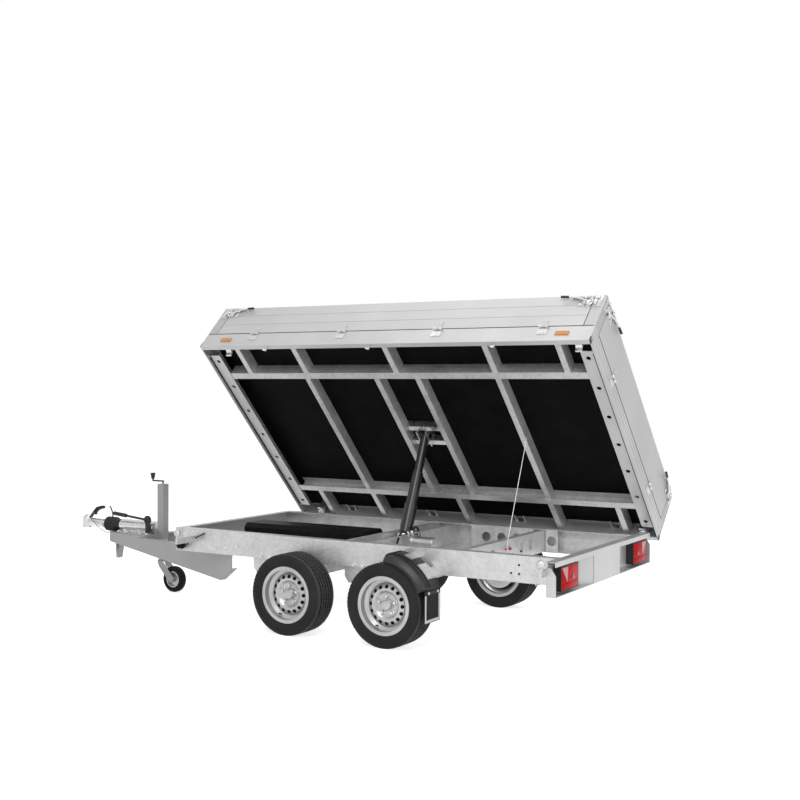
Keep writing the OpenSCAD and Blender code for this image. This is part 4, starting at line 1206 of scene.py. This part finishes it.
@dataclass
class TippingBed:
    """Latches, hinge fixings, plugs and hooks of the bed and its boards, and dark strips of painted
    shade.

    Attributes:
        boards: Each wall's body, the places of its hinges and its board's two ends.
        latch_steps: Stations along a latch, from the board's end.
        nut_z: Height of the nuts inside the side profiles.
        hooks_x: The x of the rope hooks.
        ribs_z: Lower and upper edge of each rib along the rear profile.
        shade_strip_z: Lower and upper edge of the dark strips of painted shade under the boards.
        gate_half: Half of the tailgate's width.
    """

    boards: dict[Panel, tuple[str, tuple[float, ...], tuple[float, float]]] = field(
        default_factory=lambda: {
            Panel.LEFT: ("left_board", (300.0, 1040.0, 1780.0, 2520.0), (50.0, 2866.0)),
            Panel.RIGHT: ("right_board", (300.0, 1040.0, 1780.0, 2520.0), (50.0, 2866.0)),
            Panel.REAR: ("tail_board", (-500.0, 500.0), (-852.0, 852.0))})
    latch_steps: tuple[float, ...] = (6, 34, 84, 150, 204)
    nut_z: float = 686.0
    hooks_x: tuple[float, ...] = (598.0, 1512.0, 2353.0)
    ribs_z: tuple[Point, ...] = ((606, 612), (650, 656), (688, 693))
    shade_strip_z: Point = (716.5, 722.4)
    gate_half: float = 852.0

    def _latch(self, panel: Panel, body: str, name: str, end: float, way: int) -> None:
        """Makes one corner latch.

        Args:
            panel: The wall that it sits on.
            body: The body that carries it.
            name: The piece's name.
            end: Where the board ends along the wall.
            way: 1 if the board lies at larger values, otherwise -1.
        """
        shape, grip = Shape(), Shape()
        at = [end + way * d for d in self.latch_steps]
        shape.block((at[0], 0, 898), (at[2], 5, 950), 1.5)
        shape.block((at[0], 4, 904), (at[1], 15, 944), 3)
        shape.block((at[1], 5, 952), (at[1] + way * 16, 22, 986), 3)
        shape.pin((at[1] + way * 8, 14, 900), (at[1] + way * 8, 14, 990), 5.5, 16, 1)
        for a, z in ((at[0] + way * 60, 924), (at[3] - way * 10, 969)):
            shape.turned([(7, 0), (7, 1.6), (5, 4), (0, 4.6)], (a, 4.5, z), Y_AXIS, 18)
        shape.tube(smooth_path([
            (at[1], 17, 930), (at[1] + way * 30, 19, 944), (at[2] + way * 20, 21, 958),
            (at[3], 22, 966), (at[4], 26, 964)], 6), 6.5, 12)
        shape.tube(smooth_path([
            (at[0] + way * 4, 10, 900), (at[0] - way * 10, 14, 912), (at[0] - way * 14, 15, 936),
            (at[0] + way * 4, 12, 950)], 5), 4.5, 10)
        shape.make(name, BRIGHT_ZINC, body, panel.frame)
        grip.tube([(at[3] + way * 6, 22.2, 966), (at[3] + way * 30, 24, 965.4),
                   (at[4] + way * 4, 26.4, 964)], 8.4, 14)
        grip.make(f"{name}_grip", PLASTIC, body, panel.frame)

    def _keeper(self, panel: Panel, name: str, end: float, way: int) -> None:
        """Makes the catch on the corner post that a latch hooks into.

        Args:
            panel: The wall that it sits on.
            name: The piece's name.
            end: Where the board ends along the wall.
            way: 1 if the board lies at larger values, otherwise -1.
        """
        shape = Shape()
        near, far = end - way * 14, end - way * 64
        shape.block((near, 0, 892), (far, 4, 990), 1.5)
        shape.block((near - way * 4, 3, 902), (near - way * 22, 17, 946), 3)
        shape.block((near - way * 4, 3, 958), (near - way * 30, 12, 984), 3)
        shape.turned([(5.5, 0), (5.5, 1.4), (3.6, 3)], (far + way * 10, 4, 972), Y_AXIS, 14)
        shape.make(name, BRIGHT_ZINC, "bed", panel.frame)

    def latches(self) -> None:
        """Builds every corner's latch and keeper."""
        for panel, (body, _, ends) in self.boards.items():
            for end, way, place in zip(ends, (1, -1), ("low", "high")):
                self._latch(panel, body, f"{panel.word}_{place}_latch", end, way)
                self._keeper(panel, f"{panel.word}_{place}_keeper", end, way)

    def hinge_rivets(self) -> None:
        """Builds the rivets through the hinge straps and leaves."""
        for panel, (body, hinges, _) in self.boards.items():
            for carrier, part, z in ((body, "hinge", 768), ("bed", "leaf", 660)):
                rivets = Shape()
                for a in hinges:
                    for b in (-9, 9):
                        rivets.turned(RIVET, (a + b, 4.4, z), Y_AXIS, 14)
                rivets.make(f"{panel.word}_{part}_rivets", BRIGHT_ZINC, carrier, panel.frame)

    def nut_plates(self) -> None:
        """Builds the plates and bolt ends inside the side profiles, behind each hinge."""
        for panel in (Panel.LEFT, Panel.RIGHT):
            plates, z = Shape(), self.nut_z
            for x in self.boards[panel][1]:
                plates.block((x - 50, -8, 668), (x + 50, -4, 706), 1.5)
                for a in (x - 34, x + 34):
                    plates.bolt((a, -8, z), (0, -1, 0), 15)
                    plates.pin((a, -14, z), (a, -58, z), 5.5, 12, 1)
            plates.make(f"{panel.word}_nut_plates", BRIGHT_ZINC, "bed", panel.frame)

    def plugs(self) -> None:
        """Builds the black plugs on the corner posts."""
        plugs = Shape()
        for sign in (1, -1):
            for x in (BED_REAR + 4, BED_FRONT - 75):
                plugs.block((x, sign * (BED_SIDE - 32), BOARD_HIGH),
                            (x + 71, sign * (BED_SIDE - 2), BOARD_HIGH + 5), 2)
            for x in (BED_REAR - 1.5, BED_FRONT - 4):
                plugs.block((x, sign * (BED_SIDE - 34), 588),
                            (x + 5.5, sign * (BED_SIDE + 1), 624), 1.2)
        plugs.make("post_plugs", PLASTIC, "bed", BED)

    def ribs(self) -> None:
        """Builds the rolled ribs along the rear profile's face."""
        ribs = Shape()
        for low, high in self.ribs_z:
            ribs.block((BED_REAR - 2.4, 3 - BED_SIDE, low),
                       (BED_REAR + 0.2, BED_SIDE - 3, high), 0.8)
        ribs.make("rear_profile_ribs", PROFILE, "bed", BED)

    def groove_shade_strips(self) -> None:
        """Builds dark rubber strips of painted shade under the boards and along the end walls."""
        groove_shade_strips, (low, high), half = Shape(), self.shade_strip_z, self.gate_half
        for sign in (1, -1):
            groove_shade_strips.block((BED_REAR + 8, sign * (BED_SIDE - 26), low),
                        (BED_FRONT - 8, sign * (BED_SIDE + 0.8), high))
        groove_shade_strips.block((BED_REAR - 0.8, -half, low), (BED_REAR + 24, half, high))
        for x, foot in ((BED_REAR + 5, 598), (BED_FRONT - 15, 608)):
            groove_shade_strips.block((x, 40 - half, foot), (x + 10, half - 40, 612))
        # Black rubber strips stand in for the shade under the boards and at the end walls.
        groove_shade_strips.make("board_groove_shade_strips", SOFT_RUBBER, "bed", BED)

    def hooks(self) -> None:
        """Builds the bright rope hooks under both side profiles."""
        for panel in (Panel.LEFT, Panel.RIGHT):
            hooks = Shape()
            for x in self.hooks_x:
                hooks.tube(smooth_path([(x, -17, 592), (x, -17, 566), (x + 6, -12, 554),
                                        (x + 16, -2, 550)], 5), 5.6, 12)
            hooks.make(f"{panel.word}_rope_hooks", BRIGHT_ZINC, "bed", panel.frame)

    def build(self) -> None:
        """Builds the bed's fittings."""
        for job in (self.latches, self.hinge_rivets, self.nut_plates, self.plugs, self.ribs,
                    self.groove_shade_strips, self.hooks):
            job()


@dataclass(frozen=True)
class Line:
    """One hose, cable or wire.

    Attributes:
        name: Name of the piece.
        points: Points that it passes through, in the drawing's millimetres.
        diameter: Its diameter in millimetres.
        finish: Its finish.
        far_end: What is on its far end; not used.
        stiffness: How stiff it is; not used.
        lay: How it lies; not used.
    """

    name: str
    points: tuple[Point, ...]
    diameter: float
    finish: Finish
    far_end: str = "object"
    stiffness: str = "stiff"
    lay: str = "hanging"

    def make(self, *ends: bpy.types.Object) -> bpy.types.Object:
        """Makes the line.

        Args:
            *ends: The pieces on its far end; not used.

        Returns:
            The piece.
        """
        steps = max(4, 28 // (len(self.points) - 1))
        path = [spot(p) for p in smooth_path(self.points, steps)]
        shape = Shape().tube([p / MM for p in path], self.diameter / 2, 12)
        piece = shape.make(self.name, self.finish, "chassis", Matrix.Scale(MM, 4))
        return piece


@dataclass
class Hydraulics:
    """Hoses and fittings of the pump, the ram's collar and the wire that limits the tip.

    Attributes:
        port_x: The x of the pump's hose ports.
        ports: Their y.
        pump: The (y, z) of the pump's axis.
        caps: The x of each cap on the pump and its (radius, depth) profile.
        cap_bolts: Bolts round the rear cap.
        collar: Closed section of the collar, radius against height on the barrel.
        bearing_x: The x of the bearing plate's rear face.
        bearing_bolts: The (y, z) of its small bolts.
        wire_top: The wire's upper end, on the bed before it tips.
        wire_low: Its lower end.
    """

    port_x: float = 1374.0
    ports: tuple[float, ...] = (62.0, 118.0)
    pump: Point = (90.0, 545.0)
    caps: tuple[tuple[float, tuple[Point, ...]], ...] = (
        (1182.0, ((44, 0), (46, 2), (46, 14), (44, 16))),
        (1334.0, ((45.5, 0), (46.5, 1), (46.5, 9), (45.5, 10))))
    cap_bolts: int = 6
    collar: tuple[Point, ...] = ((53, -8), (58.5, -6), (58.5, 15), (56, 17.5), (47, 17.8),
                                 (47, 15.6), (53, 15))
    bearing_x: float = 1388.0
    bearing_bolts: tuple[Point, ...] = ((-54, 515), (24, 515), (-54, 580), (24, 580))
    wire_top: Point = (663, 46, 612)
    wire_low: Point = (687, 9, 566)

    def lines(self) -> None:
        """Makes the hoses and the limit wire."""
        Line("pressure_hose", ((1374, 62, 591), (1374, 40, 628), (1390, -20, 640), (1402, -78, 604),
                               (1398, -96, 540), (1392, -70, 480)), 14, SOFT_RUBBER).make()
        Line("return_hose", ((1374, 118, 591), (1376, 150, 622), (1380, 200, 616), (1384, 238, 560),
                             (1384, 246, 500)), 14, SOFT_RUBBER).make()
        self.wire()

    def fittings(self) -> None:
        """Makes the hose ends, the pump's caps and the valve."""
        ends, caps, valve, (y, z) = Shape(), Shape(), Shape(), self.pump
        for port in self.ports:
            ends.turned([(13, 0), (13, 10)], (self.port_x, port, 590), Z_AXIS, 6)
            ends.turned([(9.5, 0), (9.5, 18), (8.5, 20)], (self.port_x, port, 600), Z_AXIS, 16)
        ends.make("hose_ends", BRIGHT_ZINC, "chassis")
        for x, profile in self.caps:
            caps.turned(profile, (x, y, z), X_AXIS, 40)
        for k in range(self.cap_bolts):
            a = math.tau * k / self.cap_bolts
            caps.bolt((self.caps[0][0], y + 34 * math.cos(a), z + 34 * math.sin(a)), REARWARD, 8)
        caps.make("pump_caps", CASTING, "chassis")
        valve.block((self.port_x - 22, y - 38, 452), (self.port_x + 22, y + 38, 486), 3)
        valve.pin((self.port_x, y, 440), (self.port_x, y, 454), 9, 16, 1)
        valve.make("pump_valve", CASTING, "chassis")

    def barrel(self) -> None:
        """Makes the bright collar round the barrel, and the black block that it hangs in."""
        Shape().turned(self.collar, (0, 0, 0), Z_AXIS, 48, closed=True).make(
            "ram_collar", BRIGHT_ZINC, "ram_barrel", RAM)
        cheeks, bolts = Shape(), Shape()
        for sign in (1, -1):
            cheeks.block((-58, sign * 53, -52), (58, sign * 64, -10), 3)
            cheeks.block((sign * 53, -54, -52), (sign * 58, 54, -10), 1.5)
            bolts.bolt((0, sign * 64, -31), (0, sign, 0), 24)
        cheeks.make("ram_block", RAM_PAINT, "ram_barrel", RAM)
        bolts.make("ram_block_bolts", BRIGHT_ZINC, "ram_barrel", RAM)

    def bearing(self) -> None:
        """Makes the black bearing plate of the trunnion, with the pin's bright end."""
        x = self.bearing_x
        Shape().block((x, -70, 500), (x + 15, 37, 594), 4).make(
            "trunnion_plate", RAM_PAINT, "chassis")
        bolts = Shape().bolt((x, 0, RAM_FOOT.z), REARWARD, 26)
        for y, z in self.bearing_bolts:
            bolts.bolt((x, y, z), REARWARD, 11)
        bolts.make("trunnion_bolts", BRIGHT_ZINC, "chassis")

    def wire(self) -> None:
        """Makes the taut wire that stops the tip, its valve and the valve's caps."""
        top, low = spot(self.wire_top, BED), spot(self.wire_low)
        path = [low.lerp(top, i / 20) for i in range(21)]
        piece = Shape().tube([p / MM for p in path], 2.2, 10).make(
            "limit_wire", BRIGHT_ZINC, "chassis", Matrix.Scale(MM, 4))
        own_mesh(piece)
        valve = Shape().block((672, -6, 530), (704, 24, 556), 3)
        valve.pin((687, 9, 556), (687, 9, 570), 6, 16, 1).make("wire_valve", CASTING, "chassis")
        caps = Shape().turned([(10, 0), (10, 12), (8, 14)], (671, 9, 543), REARWARD, 20)
        caps.turned([(9, 0), (9, 10), (7, 12)], (688, 25, 540), Y_AXIS, 20)
        caps.make("valve_caps", SIGNAL_RED, "chassis")

    def build(self) -> None:
        """Builds the hydraulic pieces that aren't lines."""
        self.fittings()
        self.barrel()
        self.bearing()


@dataclass
class Drawbar:
    """Bolts, breakaway cable, parked plug and small levers in front of the bed.

    Attributes:
        plug: Where the parked plug starts.
        plug_profile: Its (radius, length) profile.
        bolt_rows: The overrun housing's bolts, as (x, y, z, width) of the left-hand ones.
        release: Points of the release lever.
        handle: Points of the coupling handle's grip.
        brake_grip: Points of the brake lever's grip.
        gaiter_x: The rear end of the bellows.
        gaiter_z: Height of their middle.
        gaiter_folds: How many folds they have.
        gaiter_pitch: Length of one fold.
    """

    plug: Point = (2838, 690, 488)
    plug_profile: tuple[Point, ...] = ((9, 0), (17, 4), (23, 12), (25, 18), (25, 50), (22, 55))
    bolt_rows: tuple[Point, ...] = (
        (3760, 46, 436, 17), (3850, 46, 436, 17), (3990, 46, 436, 17), (3715, 118, 442, 16),
        (3785, 118, 442, 16), (3960, 88, 442, 16), (4035, 88, 442, 16))
    release: tuple[Point, ...] = ((4182, 0, 541), (4178, 0, 560), (4190, 0, 596), (4210, 0, 629))
    handle: tuple[Point, ...] = ((4368, 0, 556), (4352, 0, 584), (4318, 0, 606), (4272, 0, 618))
    brake_grip: tuple[Point, ...] = ((4000, 54, 574), (4050, 54, 578), (4114, 54, 583))
    gaiter_x: float = 4079.0
    gaiter_z: float = 488.0
    gaiter_folds: int = 4
    gaiter_pitch: float = 26.0

    def lines(self) -> None:
        """Makes the breakaway cable, and the parked plug with its lead."""
        plug = Shape().turned(self.plug_profile, self.plug, X_AXIS, 28)
        plug = plug.make("parked_plug", BOX_PAINT, "chassis")
        Line("breakaway_cable", ((4150, 46, 440), (4180, 56, 424), (4232, 56, 436), (4290, 52, 464),
                                 (4334, 48, 496), (4372, 42, 514)), 5, SIGNAL_RED, "object",
             "medium", "hanging").make()
        Line("plug_lead", ((2676, 668, 580), (2700, 684, 566), (2736, 690, 548), (2790, 691, 518),
                           (2824, 690, 492), (2842, 690, 488)), 9, SOFT_RUBBER, "plug", "medium",
             "hanging").make(plug)

    def fittings(self) -> None:
        """Makes the bolts, the release lever and the grips."""
        bolts, lever, grips = Shape(), Shape(), Shape()
        for x, y, z, across in self.bolt_rows:
            for sign in (1, -1):
                bolts.bolt((x, sign * y, z), Z_AXIS, across)
        bolts.make("housing_bolts", BRIGHT_ZINC, "chassis")
        lever.tube(smooth_path(self.release, 6), 5, 12)
        lever.make("release_lever", PLASTIC, "chassis")
        grips.tube(smooth_path(self.handle, 6), 12, 14)
        grips.tube(self.brake_grip, 13, 14)
        grips.make("lever_grips", PLASTIC, "chassis")

    def gaiter(self) -> None:
        """Makes the folded bellows, which stand for the plain ones."""
        folds = [(34, 0), (42, 2), (42, 44), (46, 50)]
        for k in range(self.gaiter_folds):
            x = 52 + self.gaiter_pitch * k
            folds += [(52, x + 3), (57, x + 8), (57, x + 13), (52, x + 18), (44, x + 22)]
        folds += [(38, 158), (34, 163)]
        gaiter = Shape().turned(folds, (self.gaiter_x, 0, self.gaiter_z), X_AXIS, 40)
        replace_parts(gaiter.make("gaiter", SOFT_RUBBER, "chassis", sharp=60), "bellows")

    def beam_ends(self) -> None:
        """Makes the plates that close the front beam's ends."""
        ends = Shape()
        for sign in (1, -1):
            ends.block((2878, sign * 660, 450), (2933, sign * 664.6, 602))
        ends.make("front_beam_ends", PROFILE, "chassis")

    def build(self) -> None:
        """Builds the drawbar's pieces that aren't lines."""
        self.fittings()
        self.gaiter()
        self.beam_ends()


@dataclass
class Fasteners:
    """Bolts of the rails, and dark discs of painted shade at their small holes.

    Attributes:
        axle_bolts: Where bolts lie ahead of each axle.
        axle_bolt_z: Their height above the rail's foot.
        front: The (x, z) of the bolts near the front.
        bore_shades: The (x, z) of the small holes near the rear, each marked by a dark disc of
            painted shade.
    """

    axle_bolts: tuple[float, ...] = (54.0, 210.0, 280.0, 350.0)
    axle_bolt_z: float = 12.0
    front: tuple[Point, ...] = ((2491, 492), (2396, 506))
    bore_shades: tuple[Point, ...] = ((297, 550), (348, 499), (296, 497))

    def build(self) -> None:
        """Builds the bolts, and the dark discs of painted shade at the small holes, on both sides.
        """
        places = [(axle + ahead, RAIL_LOW + self.axle_bolt_z)
                  for axle in sorted(AXLES.values()) for ahead in self.axle_bolts]
        for side, sign in SIDES.items():
            bolts, bore_shades, face, out = Shape(), Shape(), sign * RAIL_SIDE, (0, sign, 0)
            for x, z in (*places, *self.front):
                bolts.bolt((x, face, z), out, 17)
            bolts.make(f"{side}_rail_bolts", BRIGHT_ZINC, "chassis")
            # Dark discs on the rail's face paint the shade inside the small holes.
            for x, z in self.bore_shades:
                bore_shades.turned([(7, 0), (7, 0.8), (5, 1.2)], (x, face, z), out, 18)
            bore_shades.make(f"{side}_rail_bore_shades", HOLE_SHADE, "chassis")


@dataclass
class TipperTrailer:
    """The whole trailer's looks, and the studio that it stands in."""

    studio: StudioRig = field(default_factory=StudioRig)
    dress: FrameDress = field(default_factory=FrameDress)
    hydraulics: Hydraulics = field(default_factory=Hydraulics)
    drawbar: Drawbar = field(default_factory=Drawbar)
    others: tuple[object, ...] = field(default_factory=lambda: (
        RoadWheels(), Fenders(), TailLamps(), TippingBed(), Fasteners()))

    def build(self) -> None:
        """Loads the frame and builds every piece."""
        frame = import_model()
        self.studio.camera()
        self.hydraulics.lines()
        self.drawbar.lines()
        self.dress.build(frame)
        for part in (self.hydraulics, self.drawbar, *self.others):
            part.build()
        self.studio.build()
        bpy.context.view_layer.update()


def main() -> None:
    """Builds the trailer in its studio."""
    logging.basicConfig(level=logging.INFO, format="%(name)s: %(message)s")
    TipperTrailer().build()


if __name__ == "__main__":
    main()
